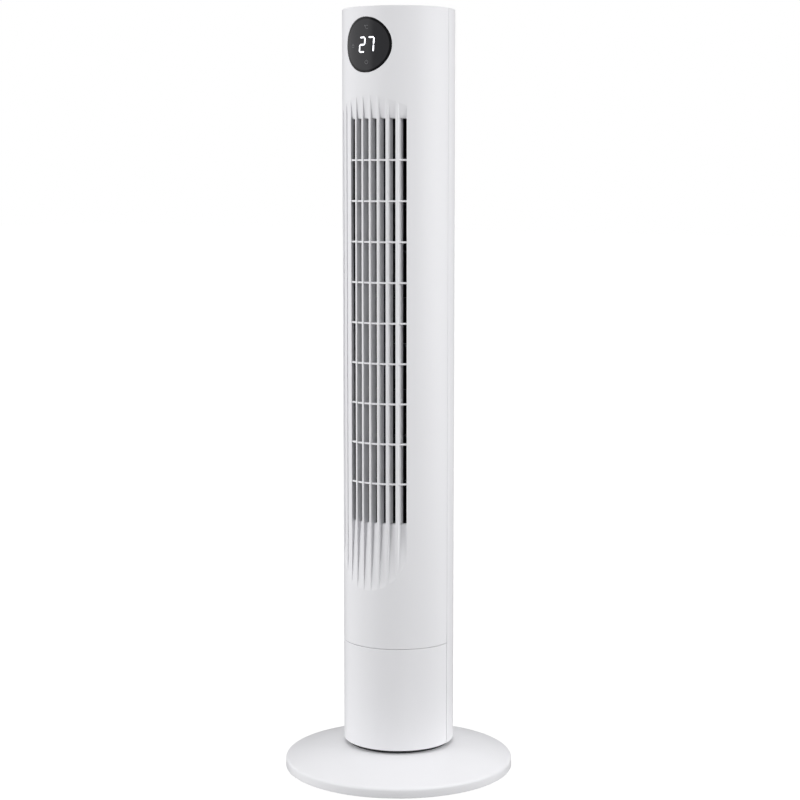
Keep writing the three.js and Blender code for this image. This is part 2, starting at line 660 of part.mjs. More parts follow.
function displayParts() {
  const front = -(INNER_RADIUS - LENS_THICKNESS);
  const half = DISPLAY_BOARD_SIZE / 2;
  const wallHere = -chord(INNER_RADIUS, half);
  const boardFront = wallHere + 2 * GAP;
  const low = [-DIGIT_WIDTH / 2, front - LENS_THICKNESS / 2, LENS_Z - DIGIT_HEIGHT / 2];
  const high = [DIGIT_WIDTH / 2, boardFront - GAP, LENS_Z + DIGIT_HEIGHT / 2];
  return group(
    piece("display_lens", geometryOf(displayLens()), "gloss"),
    piece(
      "display_board",
      block([-half, boardFront, LENS_Z - half], [half, boardFront + BOARD_THICKNESS, LENS_Z + half]),
      "board",
    ),
    piece("digit_module", block(low, high), "black"),
  );
}

// ---------- Base ----------
const BASE_SEGMENTS = 40;

// The base cover's outer line from the crown out to the rim, a shallow dome.
function domeLine(lift, steps) {
  const start = TOWER_RADIUS - DOME_INSET;
  const end = BASE_RADIUS - BASE_EDGE_RADIUS;
  return Array.from({ length: steps + 1 }, (_, i) => {
    const share = i / steps;
    const fall = DOME_STRAIGHT * share + (1 - DOME_STRAIGHT) * share * share;
    return [start + (end - start) * share, BASE_CROWN - lift - (BASE_CROWN - BASE_SHOULDER) * fall];
  });
}

function baseCover() {
  const corner = [BASE_RADIUS - BASE_EDGE_RADIUS, BASE_SHOULDER - BASE_EDGE_RADIUS];
  const hole = POST_RADIUS + COLLAR_MARGIN;
  const collarFoot = BALLAST_Z + HUB_FLANGE_THICKNESS + COLLAR_LIFT;
  const outline = [
    [BASE_RADIUS - BASE_WALL, RIM_LIFT],
    [BASE_RADIUS, RIM_LIFT],
    ...arcPoints(corner, BASE_EDGE_RADIUS, 0, Math.PI / 2, 3),
    ...domeLine(0, 4).slice(0, -1).reverse(),
    [hole, BASE_CROWN],
    [hole, collarFoot],
    [hole + BASE_WALL, collarFoot],
    [hole + BASE_WALL, BASE_CROWN - BASE_WALL],
    ...domeLine(BASE_WALL, 2).slice(0, -1),
    [BASE_RADIUS - BASE_WALL, RIM_INSIDE],
  ];
  const low = BASE_RADIUS - GLAND_LENGTH - CUT_MARGIN;
  const glandHole = rodAlongY(0, GLAND_Z, GLAND_RADIUS + GAP, low, BASE_RADIUS + CUT_MARGIN, 16);
  return solid(turned(outline, BASE_SEGMENTS)).subtract(solid(glandHole));
}

function baseBottomPlate() {
  const holes = baseScrewPlaces.map(([x, y]) => [x, y, SCREW_SHANK_RADIUS + GAP]);
  const radius = BASE_RADIUS - BASE_WALL - BOTTOM_PLATE_MARGIN;
  const outline = arcPoints([0, 0], radius, 0, 2 * Math.PI, BASE_SEGMENTS).slice(0, -1);
  return raised(outline, PLATE_Z, PLATE_Z + BOTTOM_PLATE_THICKNESS, [...holes, [0, 0, POST_BORE]]);
}

// Places evenly round a circle.
function ring(count, radius, first) {
  return Array.from({ length: count }, (_, i) => {
    const angle = degrees(first + (360 * i) / count);
    return [radius * Math.cos(angle), radius * Math.sin(angle)];
  });
}

const baseScrewPlaces = ring(BASE_SCREW_COUNT, BASE_SCREW_CIRCLE, 45);

function pivotHub() {
  const low = BALLAST_Z;
  const top = low + HUB_FLANGE_THICKNESS;
  const body = solid(
    turned([
      [POST_BORE, low],
      [HUB_FLANGE_RADIUS, low],
      [HUB_FLANGE_RADIUS, top],
      [POST_RADIUS, top],
      [POST_RADIUS, POST_TOP],
      [POST_BORE, POST_TOP],
    ]),
  );
  const half = WIRE_RADIUS + WIRE_ROOM;
  const wireWay = block([-half, 0, top], [half, POST_RADIUS + CUT_MARGIN, top + WIRE_WAY_HEIGHT]);
  const bores = baseScrewPlaces.map(([x, y]) =>
    solid(rodAlongZ(x, y, SCREW_SHANK_RADIUS + GAP, low - CUT_MARGIN, top - BORE_CAP, 12)),
  );
  return cut(body, [solid(wireWay), ...bores]);
}

function baseScrews() {
  const headTop = PLATE_Z - GAP;
  const headLow = headTop - BASE_SCREW_HEAD_HEIGHT;
  const tip = BALLAST_Z + HUB_FLANGE_THICKNESS - BORE_CAP - GAP;
  return baseScrewPlaces.map(([x, y], i) => {
    const head = solid(rodAlongZ(0, 0, SCREW_HEAD_RADIUS, headLow, headTop, 14));
    const shank = solid(rodAlongZ(0, 0, SCREW_SHANK_RADIUS, headLow, tip, 8));
    return piece(`base_screw_${i + 1}`, geometryOf(head.add(shank)), "steel", [x, y, 0]);
  });
}

// The supply wire inside the base, from the gland in to the post and up through it.
function baseLead() {
  const height = BALLAST_Z + HUB_FLANGE_THICKNESS + WIRE_RADIUS + WIRE_ROOM;
  const points = [
    [0, BASE_RADIUS - GLAND_LENGTH - WIRE_ROOM, GLAND_Z],
    [0, BASE_RADIUS - BALLAST_MARGIN, height],
    [0, TOWER_RADIUS, height],
    [0, POST_RADIUS + LEAD_APPROACH, height + GAP],
    [0, POST_RADIUS / 4, height + LEAD_BEND],
    [0, 0, height + LEAD_APPROACH + LEAD_BEND],
    [0, 0, POST_TOP - LEAD_BEND],
  ];
  return wire(points, 22);
}

function wire(points, steps) {
  const path = new THREE.CatmullRomCurve3(points.map((p) => new THREE.Vector3(...p)));
  const circle = arcPoints([0, 0], WIRE_RADIUS, 0, 2 * Math.PI, 8).slice(0, -1);
  const section = new THREE.Shape(circle.map(([x, y]) => new THREE.Vector2(x, y)));
  return new THREE.ExtrudeGeometry(section, { steps, extrudePath: path, bevelEnabled: false });
}

// The steel weight, slotted at the back for the supply wire.
function ballastPlate() {
  const outer = BASE_RADIUS - BALLAST_MARGIN;
  const half = WIRE_RADIUS + WIRE_ROOM;
  const slot = block([-half, 0, -CUT_MARGIN], [half, BASE_RADIUS, BALLAST_THICKNESS + CUT_MARGIN]);
  return solid(tube(BALLAST_INNER, outer, 0, BALLAST_THICKNESS, 40)).subtract(solid(slot));
}

function baseGroup() {
  const firstFoot = REAR + 180 / FOOT_COUNT;
  const feet = ring(FOOT_COUNT, BASE_RADIUS - FOOT_INSET, firstFoot).map(([x, y], i) =>
    piece(`foot_${i + 1}`, disc(FOOT_RADIUS, 0, FOOT_HEIGHT, 16), "rubber", [x, y, 0]),
  );
  const gland = rodAlongY(0, GLAND_Z, GLAND_RADIUS, BASE_RADIUS - GLAND_LENGTH, BASE_RADIUS - GAP, 16);
  const glandBore = rodAlongY(0, GLAND_Z, GLAND_BORE, 0, BASE_RADIUS + CUT_MARGIN, 12);
  const bearing = tube(BEARING_INNER, BEARING_OUTER, 0, BEARING_THICKNESS, 32);
  return group(
    piece("base_cover", geometryOf(baseCover()), "whiteBase"),
    piece("base_bottom_plate", baseBottomPlate(), "dark"),
    piece("ballast_plate", geometryOf(ballastPlate()), "steel", [0, 0, BALLAST_Z]),
    piece("pivot_hub", geometryOf(pivotHub()), "black"),
    piece("bearing_ring", bearing, "nylon", [0, 0, BEARING_Z]),
    piece("cord_gland", geometryOf(solid(gland).subtract(solid(glandBore))), "dark"),
    piece("base_lead", baseLead(), "lead"),
    feet,
    baseScrews(),
  );
}

// ---------- Swivel and swing drive ----------
// The outline of a spur gear, thinned by its share of the backlash.
function gearOutline(teeth) {
  const pitch = (GEAR_MODULE * teeth) / 2;
  const base = pitch * Math.cos(PRESSURE_ANGLE);
  const tip = pitch + GEAR_MODULE;
  const root = pitch - DEDENDUM * GEAR_MODULE;
  const involute = (angle) => Math.tan(angle) - angle;
  const halfTooth = Math.PI / (2 * teeth) - GEAR_BACKLASH / (4 * pitch);
  const rollAt = (radius) => involute(Math.acos(Math.min(1, base / radius)));
  const halfAt = (radius) => halfTooth + involute(PRESSURE_ANGLE) - rollAt(radius);
  const foot = Math.max(base, root);
  const flank = [foot, tip].map((radius) => [radius, halfAt(radius)]);
  const rising = [[root, halfAt(foot)], ...(foot > root ? flank : flank.slice(1))];
  const tooth = [...rising.map(([r, a]) => [r, -a]), ...[...rising].reverse()];
  return Array.from({ length: teeth }, (_, i) => (2 * Math.PI * i) / teeth).flatMap((turn) =>
    tooth.map(([radius, angle]) => [radius * Math.cos(angle + turn), radius * Math.sin(angle + turn)]),
  );
}

function turntable() {
  const bore = POST_RADIUS + RUNNING_GAP;
  const skirtFoot = BASE_CROWN + RUNNING_GAP;
  const lip = INNER_RADIUS - GAP;
  const disk = solid(
    turned([
      [bore, TURNTABLE_Z],
      [NECK_RADIUS - SKIRT_WALL, TURNTABLE_Z],
      [NECK_RADIUS - SKIRT_WALL, skirtFoot],
      [NECK_RADIUS, skirtFoot],
      [NECK_RADIUS, TURNTABLE_TOP],
      [lip, TURNTABLE_TOP],
      [lip, FLANGE_TOP],
      [lip - FLANGE_WIDTH, FLANGE_TOP],
      [lip - FLANGE_WIDTH, TURNTABLE_TOP],
      [bore, TURNTABLE_TOP],
    ]),
  );
  const [screwZ] = SCREW_HEIGHTS;
  return joined([disk, ...lugs(TURNTABLE_TOP - LUG_ROOT, screwZ + LUG_SIZE / 2)]).subtract(lugBores(screwZ));
}

// Upright lugs that the rear screws bite into.
function lugs(low, high) {
  const back = SCREW_SEAT - SEAT_WALL - GAP;
  return [-SCREW_SPREAD, SCREW_SPREAD].map((x) =>
    solid(block([x - LUG_SIZE / 2, back - LUG_DEPTH, low], [x + LUG_SIZE / 2, back, high])),
  );
}

function lugBores(z) {
  const back = SCREW_SEAT - SEAT_WALL;
  const low = SCREW_SEAT - SCREW_LENGTH;
  const radius = SCREW_SHANK_RADIUS + GAP;
  const bores = [-SCREW_SPREAD, SCREW_SPREAD].map((x) => rodAlongY(x, z, radius, low, back + CUT_MARGIN, 12));
  return joined(bores.map(solid));
}

// The bracket's plate stops short of the tower's inner wall, on a circle about the tower's axis.
function swingBracket() {
  const half = BRACKET_LEG_REACH + BRACKET_LEG_RADIUS;
  const inner = POST_RADIUS + NUT_WALL + NUT_CLEARANCE - PINION_REACH;
  const short = half - BRACKET_CORNER;
  const upper = [[half, short], [short, half], [inner, half]];
  const lower = [...upper].reverse().map(([x, y]) => [x, -y]);
  const corners = [...lower, ...upper];
  const top = BRACKET_Z + BRACKET_THICKNESS;
  const plate = raised(corners, BRACKET_Z, top, [[0, 0, SWING_SHAFT_RADIUS + BRACKET_SHAFT_MARGIN]]);
  const room = disc(INNER_RADIUS - RUNNING_GAP, TURNTABLE_TOP, top + GAP, SHELL_SEGMENTS);
  const legs = [-BRACKET_LEG_REACH, BRACKET_LEG_REACH].map((y) =>
    solid(rodAlongZ(0, y, BRACKET_LEG_RADIUS, TURNTABLE_TOP + GAP, top - BRACKET_THICKNESS / 2, 16)),
  );
  return joined([solid(plate), ...legs]).intersect(solid(room.translate(-PINION_REACH, 0, 0)));
}

function swingMotor() {
  const bore = SWING_SHAFT_RADIUS + GAP;
  const top = SWING_MOTOR_Z + SWING_MOTOR_HEIGHT;
  return turned([
    [bore, SWING_MOTOR_Z],
    [SWING_MOTOR_RADIUS, SWING_MOTOR_Z],
    [SWING_MOTOR_RADIUS, top],
    [0, top],
    [0, SWING_SHAFT_TOP + GAP],
    [bore, SWING_SHAFT_TOP + GAP],
  ], 24);
}

function swivelGroup() {
  const nutRadius = POST_RADIUS + NUT_WALL;
  const sixSides = arcPoints([0, 0], nutRadius, 0, 2 * Math.PI, 6).slice(0, -1);
  const nut = raised(sixSides, 0, NUT_HEIGHT, [[0, 0, POST_RADIUS + GAP]]);
  const gear = raised(gearOutline(GEAR_TEETH), 0, GEAR_WIDTH, [[0, 0, POST_RADIUS + GAP]]);
  const pinion = raised(gearOutline(PINION_TEETH), 0, GEAR_WIDTH, [[0, 0, SWING_SHAFT_RADIUS + GAP]]);
  pinion.rotateZ(Math.PI / PINION_TEETH);
  const shaft = disc(SWING_SHAFT_RADIUS, GEAR_Z, SWING_SHAFT_TOP, 20);
  const drive = group(
    piece("oscillation_pinion", pinion, "nylon", [0, 0, GEAR_Z]),
    piece("oscillation_shaft", shaft, "steel"),
    piece("oscillation_bracket", geometryOf(swingBracket()), "steel"),
    piece("oscillation_motor", swingMotor(), "steel"),
  );
  drive.position.set(PINION_REACH, 0, 0);
  return group(
    piece("pivot_gear", gear, "nylon", [0, 0, GEAR_Z]),
    piece("hub_nut", nut, "steel", [0, 0, NUT_Z]),
    piece("turntable", geometryOf(turntable()), "black"),
    drive,
  );
}

// ---------- Main motor ----------
const grommetPlaces = ring(GROMMET_COUNT, MOTOR_RADIUS - GROMMET_RADIUS - GROMMET_INSET, 30);

// Heights in the motor's own frame, measured down from the underside of the motor plate.
function motorGroup() {
  const bore = MOTOR_SHAFT_RADIUS + RUNNING_GAP / 2;
  const upperTop = -GROMMET_HEIGHT - 2 * GAP;
  const upperLow = upperTop - BELL_HEIGHT;
  const windingHigh = upperLow - GAP - WINDING_HEIGHT;
  const coreLow = windingHigh - GAP - CORE_HEIGHT;
  const windingLow = coreLow - GAP - WINDING_HEIGHT;
  const lowerTop = windingLow - GAP;
  const rotorLow = coreLow - ROTOR_OVERHANG;
  const rotorTop = coreLow + CORE_HEIGHT + ROTOR_OVERHANG;
  const rim = MOTOR_RADIUS;
  const seat = SLEEVE_RADIUS + GAP;
  const bell = (face, back) => {
    const inward = Math.sign(back - face);
    return turned([
      [bore + FACE_BORE_MARGIN, face],
      [rim, face],
      [rim, back],
      [rim - BELL_WALL, back],
      [rim - BELL_WALL, face + inward * BELL_WALL],
      [seat + BELL_WALL, face + inward * BELL_WALL],
      [seat + BELL_WALL, back],
      [seat, back],
      [seat, face + inward * BELL_WALL],
      [bore + FACE_BORE_MARGIN, face + inward * BELL_WALL],
    ], 24);
  };
  const sleeveHigh = upperTop - BELL_WALL - GAP - SLEEVE_HEIGHT;
  const lowerFace = lowerTop - BELL_HEIGHT;
  const sleeveLow = lowerFace + BELL_WALL + GAP;
  const windingOuter = rim - BELL_WALL - WINDING_ROOM;
  const winding = (low) => tube(CORE_INNER + CORE_MARGIN, windingOuter, low, low + WINDING_HEIGHT);
  const sleeve = (low) => tube(bore, SLEEVE_RADIUS, low, low + SLEEVE_HEIGHT);
  const shaftLow = lowerFace + BELL_WALL;
  const couplingLow = PLATE_THICKNESS + COUPLING_LIFT;
  const flangeTop = couplingLow + COUPLING_FLANGE_HEIGHT;
  const neckTop = flangeTop + COUPLING_NECK_HEIGHT;
  const grommet = tube(GROMMET_BORE, GROMMET_RADIUS, upperTop + GAP, -GAP, 16);
  const grommets = grommetPlaces.map(([x, y], i) =>
    piece(`motor_grommet_${i + 1}`, grommet, "rubber", [x, y, 0]),
  );
  const coupling = turned([
    [MOTOR_SHAFT_RADIUS + GAP, couplingLow],
    [COUPLING_FLANGE_RADIUS, couplingLow],
    [COUPLING_FLANGE_RADIUS, flangeTop],
    [COUPLING_NECK_RADIUS, flangeTop],
    [COUPLING_NECK_RADIUS, neckTop],
    [0, neckTop],
    [0, flangeTop + GAP],
    [MOTOR_SHAFT_RADIUS + GAP, flangeTop + GAP],
  ], 20);
  const motor = group(
    piece("motor_upper_bell", bell(upperTop, upperLow), "steel"),
    piece("motor_lower_bell", bell(lowerFace, lowerTop), "steel"),
    piece("stator_core", tube(CORE_INNER, rim - CORE_MARGIN, coreLow, coreLow + CORE_HEIGHT), "steel"),
    piece("stator_winding_upper", winding(windingHigh), "copper"),
    piece("stator_winding_lower", winding(windingLow), "copper"),
    piece("motor_sleeve_upper", sleeve(sleeveHigh), "bronze"),
    piece("motor_sleeve_lower", sleeve(sleeveLow), "bronze"),
    piece(
      "motor_rotor",
      tube(MOTOR_SHAFT_RADIUS + GAP, CORE_INNER - RUNNING_GAP, rotorLow, rotorTop),
      "steel",
    ),
    piece("motor_shaft", disc(MOTOR_SHAFT_RADIUS, shaftLow, flangeTop, 24), "steel"),
    piece("drive_coupling", coupling, "rubber"),
    grommets,
  );
  motor.position.set(0, IMPELLER_OFFSET, MOTOR_PLATE_Z);
  return motor;
}

// ---------- Air path ----------
function bladeSolid(low, high) {
  const outer = IMPELLER_RADIUS - BLADE_INSET;
  const inner = outer - BLADE_CHORD * Math.cos(BLADE_LEAN / 2);
  const side = (offset) =>
    Array.from({ length: 3 }, (_, i) => {
      const share = i / 2;
      const bow = BLADE_CAMBER * Math.sin(Math.PI * share) + offset;
      const swing = BLADE_CHORD * Math.sin(BLADE_LEAN / 2) * (share - 0.5);
      return [inner + (outer - inner) * share, bow + swing];
    });
  return raised([...side(-BLADE_THICKNESS / 2), ...side(BLADE_THICKNESS / 2).reverse()], low, high);
}

function impellerWheel() {
  const height = WHEEL_TOP - WHEEL_Z;
  const step = (height - DISC_THICKNESS) / (DISC_COUNT - 1);
  const ringInner = IMPELLER_RADIUS - BLADE_CHORD - RING_MARGIN;
  const middle = Array(DISC_COUNT - 2).fill(ringInner);
  const bores = [COUPLING_NECK_RADIUS + GAP, ...middle, MOTOR_SHAFT_RADIUS + GAP];
  const discs = bores.map((bore, i) =>
    solid(tube(bore, IMPELLER_RADIUS, i * step, i * step + DISC_THICKNESS, BLADE_COUNT)),
  );
  const blade = bladeSolid(DISC_THICKNESS / 2, height - DISC_THICKNESS / 2);
  const blades = Array.from({ length: BLADE_COUNT }, (_, i) =>
    solid(blade.clone().rotateZ((2 * Math.PI * i) / BLADE_COUNT)),
  );
  return joined([...discs, ...blades]);
}

function topJournal() {
  const flangeLow = WHEEL_TOP + GAP;
  const flangeTop = flangeLow + JOURNAL_FLANGE_THICKNESS;
  return turned([
    [0, flangeLow - JOURNAL_DEPTH],
    [MOTOR_SHAFT_RADIUS, flangeLow - JOURNAL_DEPTH],
    [MOTOR_SHAFT_RADIUS, flangeLow],
    [JOURNAL_FLANGE_RADIUS, flangeLow],
    [JOURNAL_FLANGE_RADIUS, flangeTop],
    [MOTOR_SHAFT_RADIUS, flangeTop],
    [MOTOR_SHAFT_RADIUS, BEARING_PLATE_Z + RUBBER_HEIGHT],
    [0, BEARING_PLATE_Z + RUBBER_HEIGHT],
  ], 20);
}

// The outline of a floor inside the tower, stepped back behind the outlet from cheek to cheek.
function floorOutline(frontRadius) {
  const rim = INNER_RADIUS - GAP;
  const edges = [SCROLL_EDGE - CHEEK_THICKNESS - CHEEK_ROOM, TONGUE_EDGE + CHEEK_THICKNESS + CHEEK_ROOM];
  const angleAt = (edge, radius) => Math.asin(edge / radius) - Math.PI / 2;
  const [scrollIn, tongueIn] = edges.map((edge) => angleAt(edge, frontRadius));
  const [scrollOut, tongueOut] = edges.map((edge) => angleAt(edge, rim));
  return [
    ...arcPoints([0, 0], frontRadius, scrollIn, tongueIn, 10),
    ...arcPoints([0, 0], rim, tongueOut, scrollOut + 2 * Math.PI, 26),
  ];
}

function bearingBracket() {
  const seat = RUBBER_RADIUS + GAP;
  const high = BEARING_PLATE_Z + RUBBER_HEIGHT + 2 * GAP + PLATE_THICKNESS;
  const cup = solid(
    turned([
      [seat, BEARING_PLATE_Z],
      [seat + CUP_WALL, BEARING_PLATE_Z],
      [seat + CUP_WALL, high],
      [SLEEVE_RADIUS - CUP_LIP, high],
      [SLEEVE_RADIUS - CUP_LIP, high - PLATE_THICKNESS],
      [seat, high - PLATE_THICKNESS],
    ], 24).translate(0, IMPELLER_OFFSET, 0),
  );
  const front = TOWER_RADIUS - FLUTE_TOP_DEPTH - SCOOP_WALL - PLATE_INSET - GAP;
  const plate = solid(raised(floorOutline(front), BEARING_PLATE_Z, BEARING_PLATE_Z + PLATE_THICKNESS));
  const hole = solid(rodAlongZ(0, IMPELLER_OFFSET, seat + CUP_WALL / 2, 0, TOWER_TOP, 24));
  const screwZ = SCREW_HEIGHTS[1];
  const upright = lugs(BEARING_PLATE_Z + LUG_ROOT, screwZ + LUG_SIZE / 2);
  return joined([plate.subtract(hole), cup, ...upright]).subtract(lugBores(screwZ));
}

function motorPlate() {
  const holes = grommetPlaces.map(([x, y]) => [x, y + IMPELLER_OFFSET, GROMMET_BORE]);
  const outline = floorOutline(TOWER_RADIUS - SCOOP_DEPTH - SCOOP_WALL - PLATE_INSET - GAP);
  const shaftHole = [0, IMPELLER_OFFSET, MOTOR_SHAFT_RADIUS + SHAFT_HOLE_MARGIN];
  return raised(outline, MOTOR_PLATE_Z, MOTOR_PLATE_TOP, [...holes, shaftHole]);
}

// A wall of the air duct in plan: from the impeller's side out to a place just past the outlet.
function ductWall(fromAngle, endX) {
  const side = Math.sign(endX);
  const end = new THREE.Vector2(endX, -chord(INNER_RADIUS - 2 * GAP - DUCT_WALL, endX));
  const centre = new THREE.Vector2(0, IMPELLER_OFFSET);
  const toEnd = end.clone().sub(centre);
  const endRadius = toEnd.length();
  const endAngle = Math.atan2(toEnd.y, toEnd.x);
  const start = degrees(fromAngle);
  const swing = ((endAngle - start) * side < 0 ? endAngle : endAngle + side * -2 * Math.PI) - start;
  const steps = Math.max(3, Math.round(Math.abs(swing) / DUCT_STEP));
  const startRadius = IMPELLER_RADIUS + DUCT_GAP;
  const line = (offset) =>
    Array.from({ length: steps + 1 }, (_, i) => {
      const share = i / steps;
      const radius = startRadius + (endRadius - startRadius) * share + offset;
      const angle = start + swing * share;
      return [centre.x + radius * Math.cos(angle), centre.y + radius * Math.sin(angle)];
    });
  const outline = [...line(0), ...line(DUCT_WALL).reverse()];
  return raised(outline, MOTOR_PLATE_TOP + GAP, BEARING_PLATE_Z - GAP);
}

function airPathGroup() {
  const rubber = tube(SLEEVE_RADIUS + GAP, RUBBER_RADIUS, 0, RUBBER_HEIGHT);
  const bush = tube(MOTOR_SHAFT_RADIUS + RUNNING_GAP / 2, SLEEVE_RADIUS, 0, RUBBER_HEIGHT, 24);
  return group(
    piece("impeller_wheel", geometryOf(impellerWheel()), "dark", [0, IMPELLER_OFFSET, WHEEL_Z]),
    piece("top_journal", topJournal(), "steel", [0, IMPELLER_OFFSET, 0]),
    piece("top_bearing_bush", bush, "bronze", [0, IMPELLER_OFFSET, BEARING_PLATE_Z]),
    piece("bearing_rubber", rubber, "rubber", [0, IMPELLER_OFFSET, BEARING_PLATE_Z]),
    piece("bearing_bracket", geometryOf(bearingBracket()), "dark"),
    piece("motor_plate", motorPlate(), "dark"),
    piece("scroll_wall", ductWall(SCROLL_START, SCROLL_EDGE - CHEEK_THICKNESS - GAP), "dark"),
    piece("tongue_wall", ductWall(TONGUE_START, TONGUE_EDGE + CHEEK_THICKNESS + GAP), "dark"),
  );
}

// ---------- Electrics ----------
function electricsGroup() {
  const half = chord(INNER_RADIUS, BOARD_SETBACK) - BOARD_SIDE_GAP;
  const low = TURNTABLE_TOP + BOARD_RISE;
  const face = BOARD_SETBACK - GAP;
  const [moduleX, moduleY, moduleZ] = MODULE_SIZE;
  const [canX, canY, canZ] = CAPACITOR_SIZE;
  const high = low + BOARD_LENGTH;
  const edge = half - BOARD_MARGIN;
  const board = block([-half, BOARD_SETBACK, low], [half, BOARD_SETBACK + BOARD_THICKNESS, high]);
  const moduleLow = low + 3 * BOARD_MARGIN;
  const moduleBlock = block([-edge, face - moduleY, moduleLow], [moduleX - edge, face, moduleLow + moduleZ]);
  const canTop = high - 2 * BOARD_MARGIN;
  const can = block([edge - canX, face - canY, canTop - canZ], [edge, face, canTop]);
  const side = edge - canX - 2 * WIRE_RADIUS - BOARD_MARGIN;
  const harness = wire(
    [
      [0, 0, POST_TOP + 2 * BOARD_MARGIN],
      [BOARD_MARGIN, BOARD_MARGIN / 2, POST_TOP + 6 * BOARD_MARGIN],
      [side, BOARD_SETBACK / 2, low + BOARD_LENGTH / 2],
      [side, face - WIRE_RADIUS - BOARD_MARGIN, low + BOARD_LENGTH * HARNESS_TURN],
      [side, face - WIRE_RADIUS - BOARD_MARGIN / 2, high - 3 * BOARD_MARGIN],
    ],
    16,
  );
  return group(
    piece("control_board", board, "board"),
    piece("power_module", moduleBlock, "black"),
    piece("run_capacitor", can, "lead"),
    piece("tower_harness", harness, "lead"),
  );
}

// ---------- The whole fan ----------
const shells = group(
  piece("front_housing", geometryOf(frontHousing()), "white"),
  piece("lower_front_cover", geometryOf(lowerFrontCover()), "white"),
  piece("rear_housing", geometryOf(rearHousing()), "white"),
  piece("top_cap", topCap(), "white"),
  rearScrews(),
);

const towerFan = group(
  baseGroup(),
  swivelGroup(),
  shells,
  displayParts(),
  motorGroup(),
  airPathGroup(),
  electricsGroup(),
);

export default towerFan;
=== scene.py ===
"""A slim white tower fan on a round base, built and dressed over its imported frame.

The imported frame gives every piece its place. Each sub-assembly below is a class that makes its own
meshes in metres, in the frame's axes: +Z up, the outlet facing -Y, the origin on the floor under the
middle of the base. Patterns that repeat are made by Geometry Nodes trees and turned into plain meshes.
"""

import json
import logging
import math
from collections.abc import Callable, Iterable, Mapping, Sequence
from dataclasses import dataclass, field
from enum import Enum
from typing import ClassVar

import bmesh
import bpy
from mathutils import Matrix, Vector


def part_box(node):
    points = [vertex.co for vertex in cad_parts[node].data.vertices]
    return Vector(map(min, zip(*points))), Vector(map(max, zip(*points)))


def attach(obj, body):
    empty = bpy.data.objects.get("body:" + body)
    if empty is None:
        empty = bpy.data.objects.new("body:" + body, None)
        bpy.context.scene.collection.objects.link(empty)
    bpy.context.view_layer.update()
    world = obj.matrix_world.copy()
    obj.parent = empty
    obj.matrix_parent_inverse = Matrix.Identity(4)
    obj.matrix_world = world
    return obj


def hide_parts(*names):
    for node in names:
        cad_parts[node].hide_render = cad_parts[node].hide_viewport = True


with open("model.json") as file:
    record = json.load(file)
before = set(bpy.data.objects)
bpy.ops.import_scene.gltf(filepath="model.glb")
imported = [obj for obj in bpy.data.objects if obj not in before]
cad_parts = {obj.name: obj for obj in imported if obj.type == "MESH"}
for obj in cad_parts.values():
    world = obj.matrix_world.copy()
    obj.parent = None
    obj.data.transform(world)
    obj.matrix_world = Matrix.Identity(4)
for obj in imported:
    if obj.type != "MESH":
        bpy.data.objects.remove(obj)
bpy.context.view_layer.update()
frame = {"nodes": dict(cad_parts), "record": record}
TOWER_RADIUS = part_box("front_housing")[1].x
TOWER_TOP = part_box("front_housing")[1].z

log = logging.getLogger("tower_fan")

MM = 0.001
FULL_TURN = 2 * math.pi
BENDS = [math.radians(angle) for angle in (0, 30, 60, 90)]  # stops round a small rounded edge
FRONT_HALF = math.radians(95.5)  # from the front round to the seam between the shells
SEAM = 0.25 * MM  # half the gap at that seam
ROUNDING = 0.001  # keeps a whole quotient from being rounded down
MERGE_REACH = 0.001 * MM  # points closer than this become one
FOOT_COUNT = 5
SCREW_COUNT = 4  # behind the tower, and again under the base
FINE_EDGE = 0.3 * MM  # radii of the small rounded edges
SMALL_EDGE = 0.4 * MM
EASED_EDGE = 0.5 * MM
CUT_MARGIN = 5 * MM  # how far a cutter reaches past what it cuts

Point = tuple[float, float]
Stop = tuple[float, float]  # an angle, and how far the outer side is drawn in there
Colour = tuple[float, float, float]


class Body(Enum):
    """The bodies that dressed pieces ride on."""

    BASE = "base"
    TOWER = "tower"
    IMPELLER = "impeller"


class Slot(Enum):
    """The material slots that pieces take their finish from."""

    SHELL_WHITE = "shell_white"
    BASE_WHITE = "base_white"
    BLACK_PLASTIC = "black_plastic"
    DARK_PLASTIC = "dark_plastic"
    IMPELLER_DARK = "impeller_dark"
    LENS_BLACK = "lens_black"
    LIT_DIGITS = "lit_digits"
    FOOT_RUBBER = "foot_rubber"
    STEEL = "steel"
    SCREW_STEEL = "screw_steel"
    CORE_STEEL = "core_steel"
    COPPER_WINDING = "copper_winding"
    BEARING_BRONZE = "bearing_bronze"
    NYLON = "nylon"
    CIRCUIT_BOARD = "circuit_board"
    CAPACITOR_CASE = "capacitor_case"
    LEAD_SHEATH = "lead_sheath"


# ---------- Node trees written as expressions ----------


def operator(operation: str, swapped: bool = False) -> Callable[["Wire", "Wire | float"], "Wire"]:
    """Make the method behind one of Python's operators.

    Args:
        operation: The Math node's operation.
        swapped: Whether the wire stands to the right of the operator.

    Returns:
        A method that adds the node and gives its result.
    """

    def method(wire: "Wire", other: "Wire | float") -> "Wire":
        """Add the Math node."""
        return wire.maths(operation, *((other, wire) if swapped else (wire, other)))

    return method


def function(operation: str, *rest: float) -> Callable[["Wire"], "Wire"]:
    """Make a method of one wire, with fixed values in the Math node's other sockets."""
    return lambda wire: wire.maths(operation, wire, *rest)


